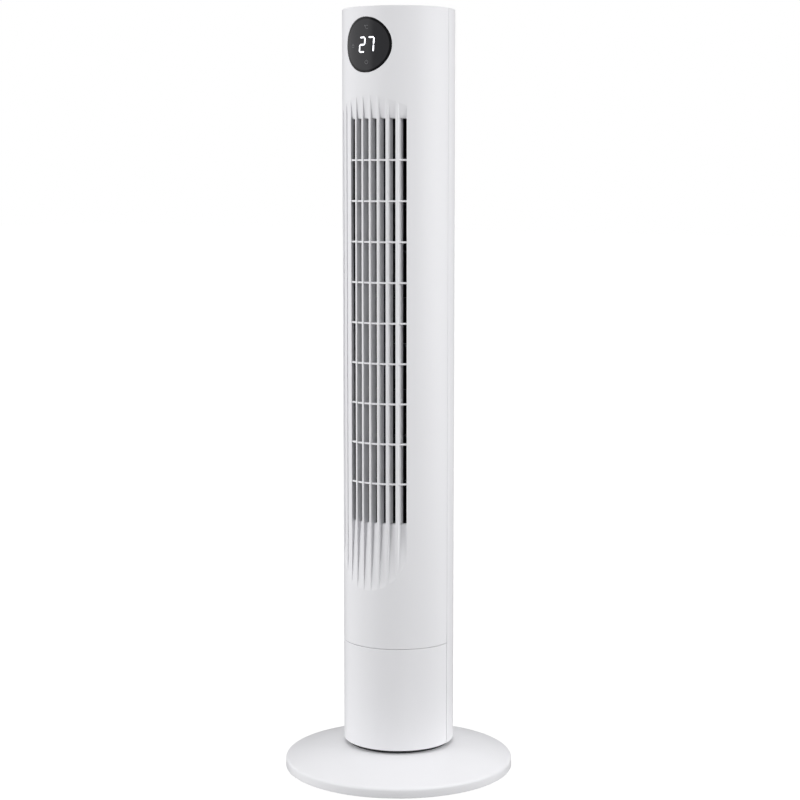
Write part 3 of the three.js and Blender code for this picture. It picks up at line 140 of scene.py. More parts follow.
class Wire:
    """One socket of a node tree, usable in plain arithmetic with numbers and other wires."""

    def __init__(self, tree: bpy.types.NodeTree, socket: bpy.types.NodeSocket) -> None:
        """Keep the socket and the tree it belongs to."""
        self.tree = tree
        self.socket = socket

    def maths(self, operation: str, *inputs: "Wire | float") -> "Wire":
        """Add one Math node.

        Args:
            operation: The node's operation.
            inputs: What goes into its sockets, in order.

        Returns:
            The node's result.
        """
        node = self.tree.nodes.new("ShaderNodeMath")
        node.operation = operation
        for socket, value in zip(node.inputs, inputs):
            feed(self.tree, socket, value)
        return Wire(self.tree, node.outputs[0])

    __add__ = operator("ADD")
    __radd__ = operator("ADD", swapped=True)
    __sub__ = operator("SUBTRACT")
    __rsub__ = operator("SUBTRACT", swapped=True)
    __mul__ = operator("MULTIPLY")
    __rmul__ = operator("MULTIPLY", swapped=True)
    __truediv__ = operator("DIVIDE")
    __mod__ = operator("FLOORED_MODULO")
    __neg__ = function("MULTIPLY", -1.0)
    __abs__ = function("ABSOLUTE")
    floor = function("FLOOR")
    sine = function("SINE")
    cosine = function("COSINE")
    root = function("SQRT")

    def ramp(self, low: float, high: float) -> "Wire":
        """Rise smoothly from nought at low to one at high.

        Args:
            low: Where the rise starts.
            high: Where it ends.

        Returns:
            The share, from nought to one.
        """
        node = self.tree.nodes.new("ShaderNodeMapRange")
        node.interpolation_type = "SMOOTHSTEP"
        for name, value in {"Value": self, "From Min": low, "From Max": high}.items():
            feed(self.tree, node.inputs[name], value)
        return Wire(self.tree, node.outputs[0])


Value = Wire | float | int | bool | tuple | bpy.types.Object | None


def feed(tree: bpy.types.NodeTree, socket: bpy.types.NodeSocket, value: Value) -> None:
    """Link a wire to a socket, or set a plain value on it.

    Args:
        tree: The tree the socket belongs to.
        socket: The input to fill.
        value: A wire or a plain value.
    """
    if isinstance(value, Wire):
        tree.links.new(value.socket, socket)
    else:
        socket.default_value = value


class NodeWork:
    """A node tree that is written one node at a time."""

    def __init__(self, tree: bpy.types.NodeTree) -> None:
        """Keep the tree that nodes are added to."""
        self.tree = tree

    def node(
        self,
        kind: str,
        settings: Mapping[str, object] | None = None,
        values: Mapping[str | int, Value] | None = None,
        output: str | int = 0,
    ) -> Wire:
        """Add a node of any kind.

        Args:
            kind: The node's type name.
            settings: The node's own settings, set first.
            values: Links or values for its input sockets, by name or number.
            output: The output socket that is returned.

        Returns:
            The wire out of that socket.
        """
        node = self.tree.nodes.new(kind)
        for name, setting in (settings or {}).items():
            setattr(node, name, setting)
        for name, value in (values or {}).items():
            feed(self.tree, node.inputs[name], value)
        return Wire(self.tree, node.outputs[output]) if node.outputs else None

    def vector(self, x: Value = 0.0, y: Value = 0.0, z: Value = 0.0) -> Wire:
        """Join three values into a vector."""
        return self.node("ShaderNodeCombineXYZ", values={"X": x, "Y": y, "Z": z})

    def parts(self, vector: Wire) -> tuple[Wire, Wire, Wire]:
        """Split a vector into its three values."""
        split = self.tree.nodes.new("ShaderNodeSeparateXYZ")
        feed(self.tree, split.inputs[0], vector)
        return tuple(Wire(self.tree, socket) for socket in split.outputs)


# ---------- Finishes ----------


class Recipe(NodeWork):
    """The shader of one finish, on the piece's own Object coordinates."""

    def __init__(self, name: str) -> None:
        """Start a material with a Principled shader.

        Args:
            name: The material's name.
        """
        self.material = bpy.data.materials.new(name)
        self.material.use_nodes = True
        super().__init__(self.material.node_tree)
        self.tree.nodes.clear()
        self.shader = self.tree.nodes.new("ShaderNodeBsdfPrincipled")
        result = self.tree.nodes.new("ShaderNodeOutputMaterial")
        self.tree.links.new(self.shader.outputs[0], result.inputs["Surface"])
        self.spot = self.node("ShaderNodeTexCoord", output="Object")

    def set(self, **values: Value) -> None:
        """Fill inputs of the Principled shader, named in lower case with underscores."""
        sockets = {socket.name.lower().replace(" ", "_"): socket for socket in self.shader.inputs}
        for name, value in values.items():
            feed(self.tree, sockets[name], value)

    def placed(self, centre: Vector, stretch: tuple[float, float, float] = (1, 1, 1)) -> Wire:
        """Object coordinates measured from a centre and stretched along the axes.

        Args:
            centre: The point that becomes the origin.
            stretch: Scale along each axis.

        Returns:
            The moved coordinates.
        """
        moved = self.node(
            "ShaderNodeVectorMath",
            {"operation": "SUBTRACT"},
            {0: self.spot, 1: tuple(centre)},
        )
        return self.node("ShaderNodeMapping", {"vector_type": "POINT"}, {"Vector": moved, "Scale": stretch})

    def noise(
        self, size: float, detail: float = 2.0, stretch: tuple[float, float, float] = (1, 1, 1)
    ) -> Wire:
        """Cloudy noise.

        Args:
            size: About how wide one cloud is, in metres.
            detail: Octaves of finer clouds.
            stretch: Scale along each axis, below 1 to draw the clouds out.

        Returns:
            A value from about 0 to 1.
        """
        place = self.node("ShaderNodeMapping", {}, {"Vector": self.spot, "Scale": stretch})
        return self.node(
            "ShaderNodeTexNoise",
            {"noise_dimensions": "3D"},
            {"Vector": place, "Scale": 1 / size, "Detail": detail, "Roughness": 0.55},
        )

    def blend(self, share: Wire, first: "Colour | Wire", second: "Colour | Wire") -> Wire:
        """Mix two colours by a share from nought to one.

        Args:
            share: From nought, all the first, to one, all the second.
            first: One colour.
            second: The other colour.

        Returns:
            The mixed colour.
        """
        filled = {0: share}
        for number, colour in ((6, first), (7, second)):
            filled[number] = colour if isinstance(colour, Wire) else (*colour, 1.0)
        return self.node("ShaderNodeMix", {"data_type": "RGBA"}, filled, output=2)

    def relief(self, height: Wire, depth: float, strength: float = 1.0, under: Wire | None = None) -> Wire:
        """Turn a height into a bump.

        Args:
            height: From nought to one.
            depth: The relief's full depth in metres.
            strength: How much of it shows.
            under: A coarser bump that this one lies on.

        Returns:
            The bumped normal.
        """
        values = {"Height": height, "Distance": depth, "Strength": strength}
        if under is not None:
            values["Normal"] = under
        return self.node("ShaderNodeBump", {}, values)


def tinted(colour: Colour, factor: float) -> Colour:
    """Scale a colour's brightness."""
    return tuple(min(1.0, part * factor) for part in colour)


@dataclass(frozen=True)
class Finish:
    """The look of one material slot."""

    slot: Slot
    colour: Colour
    roughness: float
    label: str = ""

    made: ClassVar[dict[str, bpy.types.Material]] = {}

    def material(self) -> bpy.types.Material:
        """Return the finish's material, made the first time it is asked for.

        Returns:
            The material.
        """
        name = self.label or self.slot.value
        if name not in Finish.made:
            recipe = Recipe(name)
            self.paint(recipe)
            Finish.made[name] = recipe.material
        return Finish.made[name]

    def paint(self, recipe: Recipe) -> None:
        """Fill in the shader.

        Args:
            recipe: The material to fill in.
        """
        raise NotImplementedError


@dataclass(frozen=True)
class MouldedPlastic(Finish):
    """Moulded plastic with a spark-eroded grain and faint flow marks."""

    grain: float = 0.35 * MM
    relief: float = 0.012 * MM
    mottle: float = 0.012
    flow: float = 55 * MM

    def paint(self, recipe: Recipe) -> None:
        """Mottle the colour a little, vary the gloss and raise the grain.

        Args:
            recipe: The material to fill in.
        """
        cloud = recipe.noise(self.flow, 3.0, (1, 1, 0.35))
        speck = recipe.noise(self.grain, 1.5)
        low, high = tinted(self.colour, 1 - self.mottle), tinted(self.colour, 1 + self.mottle)
        recipe.set(
            base_color=recipe.blend(cloud, low, high),
            roughness=self.roughness + (cloud - 0.5) * 0.08 + (speck - 0.5) * 0.06,
            normal=recipe.relief(speck, self.relief),
            ior=1.5,
        )


@dataclass(frozen=True)
class SmokedLens(Finish):
    """Polished smoked plastic with a black printed border behind it."""

    centre: Vector = field(default_factory=Vector)
    border: float = 28 * MM
    soft: float = 0.5 * MM
    smoke: Colour = (0.03, 0.03, 0.033)

    def paint(self, recipe: Recipe) -> None:
        """Darken the border and add the faintest smear to the polish.

        Args:
            recipe: The material to fill in.
        """
        x, _, z = recipe.parts(recipe.placed(self.centre))
        outside = (x * x + z * z).root().ramp(self.border - self.soft, self.border + self.soft)
        smear = recipe.noise(9 * MM, 4.0, (1, 1, 0.5))
        recipe.set(
            base_color=recipe.blend(outside, self.smoke, self.colour),
            roughness=self.roughness + smear * 0.05,
            normal=recipe.relief(recipe.noise(25 * MM), 0.02 * MM),
            ior=1.49,
        )


@dataclass(frozen=True)
class Lit(Finish):
    """Segments lit from behind, and printed marks given a faint painted glow."""

    glow: float = 1.0

    def paint(self, recipe: Recipe) -> None:
        """Let the light fall off a little in patches, as a diffuser does.

        Args:
            recipe: The material to fill in.
        """
        patch = recipe.noise(3 * MM, 1.0)
        recipe.set(
            base_color=(*self.colour, 1.0),
            roughness=self.roughness + patch * 0.05,
            emission_color=recipe.blend(patch, tinted(self.colour, 0.92), self.colour),
            emission_strength=self.glow,
        )


@dataclass(frozen=True)
class Rubber(Finish):
    """Soft matt rubber with a fine bloom."""

    def paint(self, recipe: Recipe) -> None:
        """Dust the black and pit the surface.

        Args:
            recipe: The material to fill in.
        """
        bloom = recipe.noise(6 * MM, 4.0)
        pit = recipe.noise(0.5 * MM, 2.0)
        recipe.set(
            base_color=recipe.blend(bloom, tinted(self.colour, 0.8), tinted(self.colour, 1.7)),
            roughness=self.roughness - bloom * 0.1,
            normal=recipe.relief(pit, 0.04 * MM),
        )


@dataclass(frozen=True)
class PlatedMetal(Finish):
    """Rolled, turned or plated metal with a directional grain."""

    brushing: tuple[float, float, float] = (1.0, 1.0, 0.06)
    line: float = 0.5 * MM
    scratch: float = 0.01 * MM

    def paint(self, recipe: Recipe) -> None:
        """Draw the grain out along one axis and stain it slightly.

        Args:
            recipe: The material to fill in.
        """
        grain = recipe.noise(self.line, 3.0, self.brushing)
        stain = recipe.noise(14 * MM, 3.0)
        recipe.set(
            base_color=recipe.blend(stain, tinted(self.colour, 0.85), tinted(self.colour, 1.12)),
            metallic=1.0,
            roughness=self.roughness + (grain - 0.5) * 0.2,
            normal=recipe.relief(grain, self.scratch),
        )


@dataclass(frozen=True)
class Laminations(Finish):
    """Punched steel sheets stacked up the motor's axis."""

    sheet: float = 0.65 * MM

    def paint(self, recipe: Recipe) -> None:
        """Groove the stack between its sheets and brown it slightly.

        Args:
            recipe: The material to fill in.
        """
        _, _, z = recipe.parts(recipe.spot)
        groove = (z * (FULL_TURN / self.sheet)).sine() * 0.5 + 0.5
        rust = recipe.noise(8 * MM, 4.0)
        recipe.set(
            base_color=recipe.blend(rust.ramp(0.45, 0.8), self.colour, (0.22, 0.16, 0.12)),
            metallic=0.9,
            roughness=self.roughness + groove * 0.15,
            normal=recipe.relief(groove, 0.12 * MM),
        )


@dataclass(frozen=True)
class WoundWire(Finish):
    """Lacquered copper wire laid in turns round the motor's axis."""

    wire: float = 0.9 * MM
    axis_offset: float = 6 * MM

    def paint(self, recipe: Recipe) -> None:
        """Lay the turns side by side, with painted shade darkening the grooves between them.

        Args:
            recipe: The material to fill in.
        """
        x, y, z = recipe.parts(recipe.placed(Vector((0, self.axis_offset, 0))))
        radius = (x * x + y * y).root()
        strand = abs(((radius + z) * (math.pi / self.wire)).sine())
        wander = recipe.noise(5 * MM, 2.0)
        # painted shade: the colour darkens in the grooves between turns, where shade would fall
        painted_groove_shade = strand * (0.6 + wander * 0.4)
        recipe.set(
            base_color=recipe.blend(painted_groove_shade, tinted(self.colour, 0.3), self.colour),
            metallic=0.85,
            roughness=self.roughness + (1 - strand) * 0.3,
            normal=recipe.relief(strand, 0.3 * MM),
        )


@dataclass(frozen=True)
class PrintedBoard(Finish):
    """Green solder mask over copper tracks, with tinned pads."""

    track: float = 2.4 * MM

    def paint(self, recipe: Recipe) -> None:
        """Run tracks across the board and scatter pads along them.

        Args:
            recipe: The material to fill in.
        """
        x, _, z = recipe.parts(recipe.spot)
        bend = recipe.noise(16 * MM, 0.0)
        lane = abs((x * (math.pi / self.track) + bend * 9).sine()).ramp(0.25, 0.4)
        across = abs((z * (math.pi / (2 * self.track)) + bend * 5).sine()).ramp(0.1, 0.2)
        places = {"Vector": recipe.spot, "Scale": 1 / (2.5 * self.track)}
        cells = recipe.node("ShaderNodeTexVoronoi", {"feature": "F1"}, places)
        pad = 1 - cells.ramp(0.12, 0.18)
        green = recipe.blend(lane * across, tinted(self.colour, 1.6), self.colour)
        recipe.set(
            base_color=recipe.blend(pad, green, (0.62, 0.62, 0.6)),
            metallic=pad * 0.9,
            roughness=self.roughness - pad * 0.15,
            normal=recipe.relief(lane * across, 0.05 * MM, 0.6),
        )


shell_white = MouldedPlastic(Slot.SHELL_WHITE, (0.80, 0.80, 0.822), 0.38)
base_white = MouldedPlastic(Slot.BASE_WHITE, (0.82, 0.82, 0.842), 0.36, flow=80 * MM)
black_plastic = MouldedPlastic(
    Slot.BLACK_PLASTIC, (0.02, 0.02, 0.022), 0.55, relief=0.03 * MM, mottle=0.25
)
dark_plastic = MouldedPlastic(
    Slot.DARK_PLASTIC, (0.012, 0.012, 0.016), 0.6, relief=0.03 * MM, mottle=0.2
)
impeller_dark = MouldedPlastic(
    Slot.IMPELLER_DARK, (0.012, 0.012, 0.018), 0.45, relief=0.02 * MM, mottle=0.3
)
lit_digits = Lit(Slot.LIT_DIGITS, (0.93, 0.94, 1.0), 0.3, glow=1.3)
# The printed marks get a faint painted glow, as if lit from behind, though nothing lights them.
lit_marks = Lit(Slot.LIT_DIGITS, (0.09, 0.09, 0.095), 0.5, label="lit_marks", glow=0.35)
foot_rubber = Rubber(Slot.FOOT_RUBBER, (0.025, 0.025, 0.027), 0.85)
steel = PlatedMetal(Slot.STEEL, (0.45, 0.46, 0.47), 0.38)
screw_steel = PlatedMetal(Slot.SCREW_STEEL, (0.38, 0.39, 0.4), 0.32, brushing=(1, 1, 1), line=0.3 * MM)
core_steel = Laminations(Slot.CORE_STEEL, (0.28, 0.29, 0.3), 0.4)
copper_winding = WoundWire(Slot.COPPER_WINDING, (0.55, 0.22, 0.1), 0.3)
bearing_bronze = PlatedMetal(
    Slot.BEARING_BRONZE, (0.42, 0.27, 0.12), 0.45, brushing=(1, 1, 1), scratch=0.03 * MM
)
nylon = MouldedPlastic(Slot.NYLON, (0.72, 0.70, 0.63), 0.45, mottle=0.05, flow=12 * MM)
circuit_board = PrintedBoard(Slot.CIRCUIT_BOARD, (0.02, 0.11, 0.05), 0.45)
capacitor_case = MouldedPlastic(Slot.CAPACITOR_CASE, (0.10, 0.11, 0.13), 0.4, mottle=0.08, flow=9 * MM)
lead_sheath = Rubber(Slot.LEAD_SHEATH, (0.03, 0.03, 0.032), 0.6)

SLOT_FINISHES = {
    finish.slot.value: finish
    for finish in (
        shell_white, base_white, black_plastic, dark_plastic, impeller_dark, lit_digits, foot_rubber, steel,
        screw_steel, core_steel, copper_winding, bearing_bronze, nylon, circuit_board, capacitor_case,
        lead_sheath,
    )
}


# ---------- Outlines and meshes ----------


def arc(centre: Point, radius: float, first: float, last: float, steps: int) -> list[Point]:
    """Points along an arc.

    Args:
        centre: The arc's centre.
        radius: Its radius.
        first: The angle it starts at, in radians.
        last: The angle it ends at.
        steps: How many straight steps it takes.

    Returns:
        The points, both ends included.
    """
    angles = [first + (last - first) * i / steps for i in range(steps + 1)]
    return [(centre[0] + radius * math.cos(a), centre[1] + radius * math.sin(a)) for a in angles]


def rounded(corners: Sequence[tuple[float, float, float]], steps: int = 5) -> list[Point]:
    """Round the corners of a closed outline.

    Args:
        corners: Each corner's two coordinates and its radius, which may be nought.
        steps: How many straight steps a rounded corner takes.

    Returns:
        The outline's points.
    """
    outline = []
    for i, (x, y, radius) in enumerate(corners):
        here = Vector((x, y))
        if radius <= 0:
            outline.append((x, y))
            continue
        before = Vector(corners[i - 1][:2]) - here
        after = Vector(corners[(i + 1) % len(corners)][:2]) - here
        half = before.angle(after) / 2
        reach = min(radius / math.tan(half), before.length * 0.49, after.length * 0.49)
        turn = reach * math.tan(half)
        middle = (before.normalized() + after.normalized()).normalized()
        centre = here + middle * (turn / math.sin(half))
        start = here + before.normalized() * reach - centre
        end = here + after.normalized() * reach - centre
        first = math.atan2(start.y, start.x)
        swing = (math.atan2(end.y, end.x) - first + math.pi) % FULL_TURN - math.pi
        outline += arc(tuple(centre), turn, first, first + swing, steps)
    return outline


def rounded_box(first: Point, last: Point, edges: Sequence[float], steps: int = 5) -> list[Point]:
    """Round the corners of a rectangle.

    Args:
        first: The corner that is low in both coordinates.
        last: The corner opposite.
        edges: The four radii, anticlockwise from the first corner.
        steps: How many straight steps a rounded corner takes.

    Returns:
        The outline's points.
    """
    corners = (first, (last[0], first[1]), last, (first[0], last[1]))
    return rounded([(*corner, edge) for corner, edge in zip(corners, edges)], steps)


def capsule(width: float, height: float, steps: int = 6) -> list[Point]:
    """An upright outline with round ends, centred on the origin."""
    half = width / 2
    up = height / 2 - half
    return arc((0, up), half, 0, math.pi, steps) + arc((0, -up), half, math.pi, FULL_TURN, steps)


class Form:
    """Points and faces gathered into one mesh."""

    def __init__(self) -> None:
        """Start with nothing."""
        self.points: list[Vector] = []
        self.faces: list[list[int]] = []

    def face(self, points: Iterable[Vector]) -> None:
        """Add one face."""
        start = len(self.points)
        self.points += [Vector(point) for point in points]
        self.faces.append(list(range(start, len(self.points))))

    def sheet(
        self, rows: Sequence[Sequence[Vector]], wrap: bool = False, skip: set[tuple[int, int]] | None = None
    ) -> None:
        """Add a grid of four-sided faces between rows of points.

        Args:
            rows: Rows with the same number of points.
            wrap: Whether each row closes on itself.
            skip: Faces to leave out, as their row and column.
        """
        start = len(self.points)
        width = len(rows[0])
        for row in rows:
            self.points += [Vector(point) for point in row]
        columns = width if wrap else width - 1
        for i in range(len(rows) - 1):
            for j in range(columns):
                if skip and (i, j) in skip:
                    continue
                near, far = start + i * width, start + (i + 1) * width
                nxt = (j + 1) % width
                self.faces.append([near + j, near + nxt, far + nxt, far + j])

    def turn(self, outline: Sequence[Point], stops: Sequence[Stop], middle: float = 0.0) -> None:
        """Sweep a closed outline of radius and height round the Z axis.

        Args:
            outline: The outline's points.
            stops: Angles from the front, anticlockwise from above, and how far the outer side
                is drawn in at each, which rounds a shell's cut edges.
            middle: The radius beyond which points belong to the outer side.
        """
        rows = []
        for angle, inset in stops:
            across, along = math.sin(angle), -math.cos(angle)
            reach = [radius - (inset if radius > middle else 0.0) for radius, _ in outline]
            rows.append([Vector((r * across, r * along, z)) for r, (_, z) in zip(reach, outline)])
        self.sheet(rows, wrap=True)
        whole = abs(abs(stops[-1][0] - stops[0][0]) - FULL_TURN) < 1e-6
        if not whole:
            self.face(rows[0])
            self.face(rows[-1])

    def raised(self, outline: Sequence[Point], low: float, high: float, axes: str = "xyz") -> None:
        """Draw a closed flat outline out along an axis.

        Args:
            outline: The outline's points.
            low: Where it starts.
            high: Where it ends.
            axes: Which axes the outline's two coordinates and the draw run along.
        """

        def placed(point: Point, level: float) -> Vector:
            """Put one outline point into space."""
            spot = dict(zip(axes, (*point, level)))
            return Vector((spot["x"], spot["y"], spot["z"]))

        ends = [[placed(point, level) for point in outline] for level in (low, high)]
        self.sheet(ends, wrap=True)
        for end in ends:
            self.face(end)

    def mesh(self, name: str) -> bpy.types.Mesh:
        """Merge what meets, turn the faces outwards and return the mesh.

        Args:
            name: The mesh's name.

        Returns:
            A closed mesh.
        """
        mesh = bpy.data.meshes.new(name)
        mesh.from_pydata([tuple(point) for point in self.points], [], self.faces)
        work = bmesh.new()
        work.from_mesh(mesh)
        bmesh.ops.remove_doubles(work, verts=work.verts, dist=MERGE_REACH / 10)
        bmesh.ops.recalc_face_normals(work, faces=work.faces)
        work.to_mesh(mesh)
        work.free()
        return mesh

    def object(self, name: str) -> bpy.types.Object:
        """Return the form as an object in the scene."""
        return placed_object(name, self.mesh(name))


def placed_object(name: str, mesh: bpy.types.Mesh) -> bpy.types.Object:
    """Put a mesh into the scene as an object at the origin."""
    made = bpy.data.objects.new(name, mesh)
    bpy.context.scene.collection.objects.link(made)
    return made


def full_circle(steps: int) -> list[Stop]:
    """Stops for a whole turn."""
    return [(FULL_TURN * i / steps, 0.0) for i in range(steps + 1)]


def settle(piece: bpy.types.Object) -> None:
    """Replace a piece's mesh by what its modifiers make of it, and drop the modifiers.

    Args:
        piece: The object to settle.
    """
    graph = bpy.context.evaluated_depsgraph_get()
    mesh = bpy.data.meshes.new_from_object(piece.evaluated_get(graph))
    piece.modifiers.clear()
    piece.data = mesh


def carve(piece: bpy.types.Object, tool: bpy.types.Object, operation: str = "DIFFERENCE") -> None:
    """Join, cut or keep a piece with a tool shape, which is used up.

    Args:
        piece: The object that changes.
        tool: The object it is joined to or cut by.
        operation: The boolean operation.
    """
    modifier = piece.modifiers.new("carve", "BOOLEAN")
    modifier.operation = operation
    modifier.solver = "MANIFOLD"
    modifier.object = tool
    settle(piece)
    bpy.data.objects.remove(tool)


def smooth(mesh: bpy.types.Mesh, sharp_degrees: float = 32.0) -> None:
    """Shade a mesh smooth, apart from edges sharper than an angle."""
    mesh.shade_smooth()
    mesh.set_sharp_from_angle(angle=math.radians(sharp_degrees))


def true_round(mesh: bpy.types.Mesh, radius: float) -> None:
    """Give the faces that lie on an upright cylinder round the Z axis that cylinder's own normals.

    Args:
        mesh: The mesh to correct, already shaded smooth.
        radius: The cylinder's radius.
    """
    near = 5e-6
    normals = [Vector(normal.vector) for normal in mesh.corner_normals]
    for polygon in mesh.polygons:
        corners = [mesh.vertices[i].co for i in polygon.vertices]
        if all(abs(corner.xy.length - radius) < near for corner in corners):
            for loop in polygon.loop_indices:
                corner = mesh.vertices[mesh.loops[loop].vertex_index].co
                normals[loop] = Vector((corner.x, corner.y, 0.0)).normalized()
    mesh.normals_split_custom_set([tuple(normal) for normal in normals])


def install(piece: bpy.types.Object, body: Body, finish: Finish, *nodes: str) -> bpy.types.Object:
    """Finish a piece and hand it to the frame.

    Args:
        piece: The object, in place, with no modifiers left.
        body: The body it rides on.
        finish: Its finish.
        nodes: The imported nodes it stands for.

    Returns:
        The same object.
    """
    piece.data.materials.clear()
    piece.data.materials.append(finish.material())
    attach(piece, body.value)
    if nodes:
        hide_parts(*nodes)
    log.info("%s: %d faces on %s", piece.name, len(piece.data.polygons), body.value)
    return piece


# ---------- Patterns by Geometry Nodes ----------


class Pattern(NodeWork):
    """A Geometry Nodes tree with named sizes, run once into a plain mesh."""

    KINDS = {int: "NodeSocketInt", float: "NodeSocketFloat", bpy.types.Object: "NodeSocketObject"}

    def __init__(self, name: str, sizes: Mapping[str, "int | float | bpy.types.Object"]) -> None:
        """Args:
            name: The tree's name.
            sizes: Its named inputs and their values.
        """
        super().__init__(bpy.data.node_groups.new(name, "GeometryNodeTree"))
        self.values: dict[str, object] = {}
        for label, value in sizes.items():
            kind = self.KINDS[type(value)]
            socket = self.tree.interface.new_socket(name=label, in_out="INPUT", socket_type=kind)
            self.values[socket.identifier] = value
        self.tree.interface.new_socket(name="Result", in_out="OUTPUT", socket_type="NodeSocketGeometry")
        self.entry = self.tree.nodes.new("NodeGroupInput")

    def size(self, label: str) -> Wire:
        """One of the tree's named inputs."""
        return Wire(self.tree, self.entry.outputs[label])

    def template(self, label: str) -> Wire:
        """The shape of an object given as a named input."""
        settings = {"transform_space": "ORIGINAL"}
        return self.node("GeometryNodeObjectInfo", settings, {"Object": self.size(label)}, "Geometry")

    def section(self, width: str, height: str, edge: str, steps: int) -> Wire:
        """A rectangle with rounded corners.

        Args:
            width: The input that holds its width.
            height: The input that holds its height.
            edge: The input that holds its corners' radius.
            steps: Points added at each corner.

        Returns:
            The closed curve.
        """
        sides = {"Width": self.size(width), "Height": self.size(height)}
        sharp = self.node("GeometryNodeCurvePrimitiveQuadrilateral", {"mode": "RECTANGLE"}, sides)
        corners = {"Curve": sharp, "Count": steps, "Radius": self.size(edge)}
        return self.node("GeometryNodeFilletCurve", {"mode": "POLY"}, corners)

    def row(self, count: Wire, place: Wire) -> Wire:
        """As many points as asked for, each at its own place."""
        points = self.node("GeometryNodePoints", {}, {"Count": count, "Radius": 1 * MM})
        return self.node("GeometryNodeSetPosition", {}, {"Geometry": points, "Position": place})

    def index(self) -> Wire:
        """The number of each element."""
        return self.node("GeometryNodeInputIndex")

    def bake(self, shape: Wire, name: str, finish: Finish) -> bpy.types.Object:
        """End the tree, run it and return its result as a plain object.

        Args:
            shape: The geometry to end with.
            name: The object's name.
            finish: The finish its faces take.

        Returns:
            An object at the origin with no modifier.
        """
        whole = self.node("GeometryNodeRealizeInstances", {}, {"Geometry": shape})
        coating = {"Geometry": whole, "Material": finish.material()}
        coated = self.node("GeometryNodeSetMaterial", {}, coating)
        result = self.tree.nodes.new("NodeGroupOutput")
        feed(self.tree, result.inputs[0], coated)
        host = placed_object(name, bpy.data.meshes.new(name))
        modifier = host.modifiers.new("pattern", "NODES")
        modifier.node_group = self.tree
        for identifier, value in self.values.items():
            modifier[identifier] = value
        settle(host)
        return host


def round_copies(
    name: str,
    template: bpy.types.Object,
    finish: Finish,
    columns: int,
    column_step: float,
    radius: float,
    first_height: float,
    first_angle: float = 0.0,
    rows: int = 1,
    row_step: float = 0.0,
) -> bpy.types.Object:
    """Copy a template round an upright axis, in one or more rows.

    Args:
        name: The result's name.
        template: The shape to copy, used up, with its back to the axis along -Y at angle nought.
        finish: The finish of the copies.
        columns: Copies in each row.
        column_step: Angle from one to the next, in radians.
        radius: Distance from the axis.
        first_height: Height of the first row.
        first_angle: Angle of the first copy from the front, anticlockwise from above.
        rows: Number of rows.
        row_step: Height from one row to the next.

    Returns:
        One object that holds all the copies.
    """
    tree = Pattern(
        name + "_pattern",
        {
            "Template": template,
            "Columns": columns,
            "Rows": rows,
            "Column step": float(column_step),
            "Row step": float(row_step),
            "Radius": float(radius),
            "First angle": float(first_angle),
            "First height": float(first_height),
        },
    )
    number = tree.index()
    row = (number / tree.size("Columns") + ROUNDING).floor()
    angle = tree.size("First angle") + (number % tree.size("Columns")) * tree.size("Column step")
    place = tree.vector(
        angle.sine() * tree.size("Radius"),
        -(angle.cosine() * tree.size("Radius")),
        tree.size("First height") + row * tree.size("Row step"),
    )
    copying = {
        "Points": tree.row(tree.size("Columns") * tree.size("Rows"), place),
        "Instance": tree.template("Template"),
        "Rotation": tree.vector(0.0, 0.0, angle),
    }
    copies = tree.node("GeometryNodeInstanceOnPoints", {}, copying)
    made = tree.bake(copies, name, finish)
    bpy.data.objects.remove(template)
    return made


# ---------- Tower shells ----------


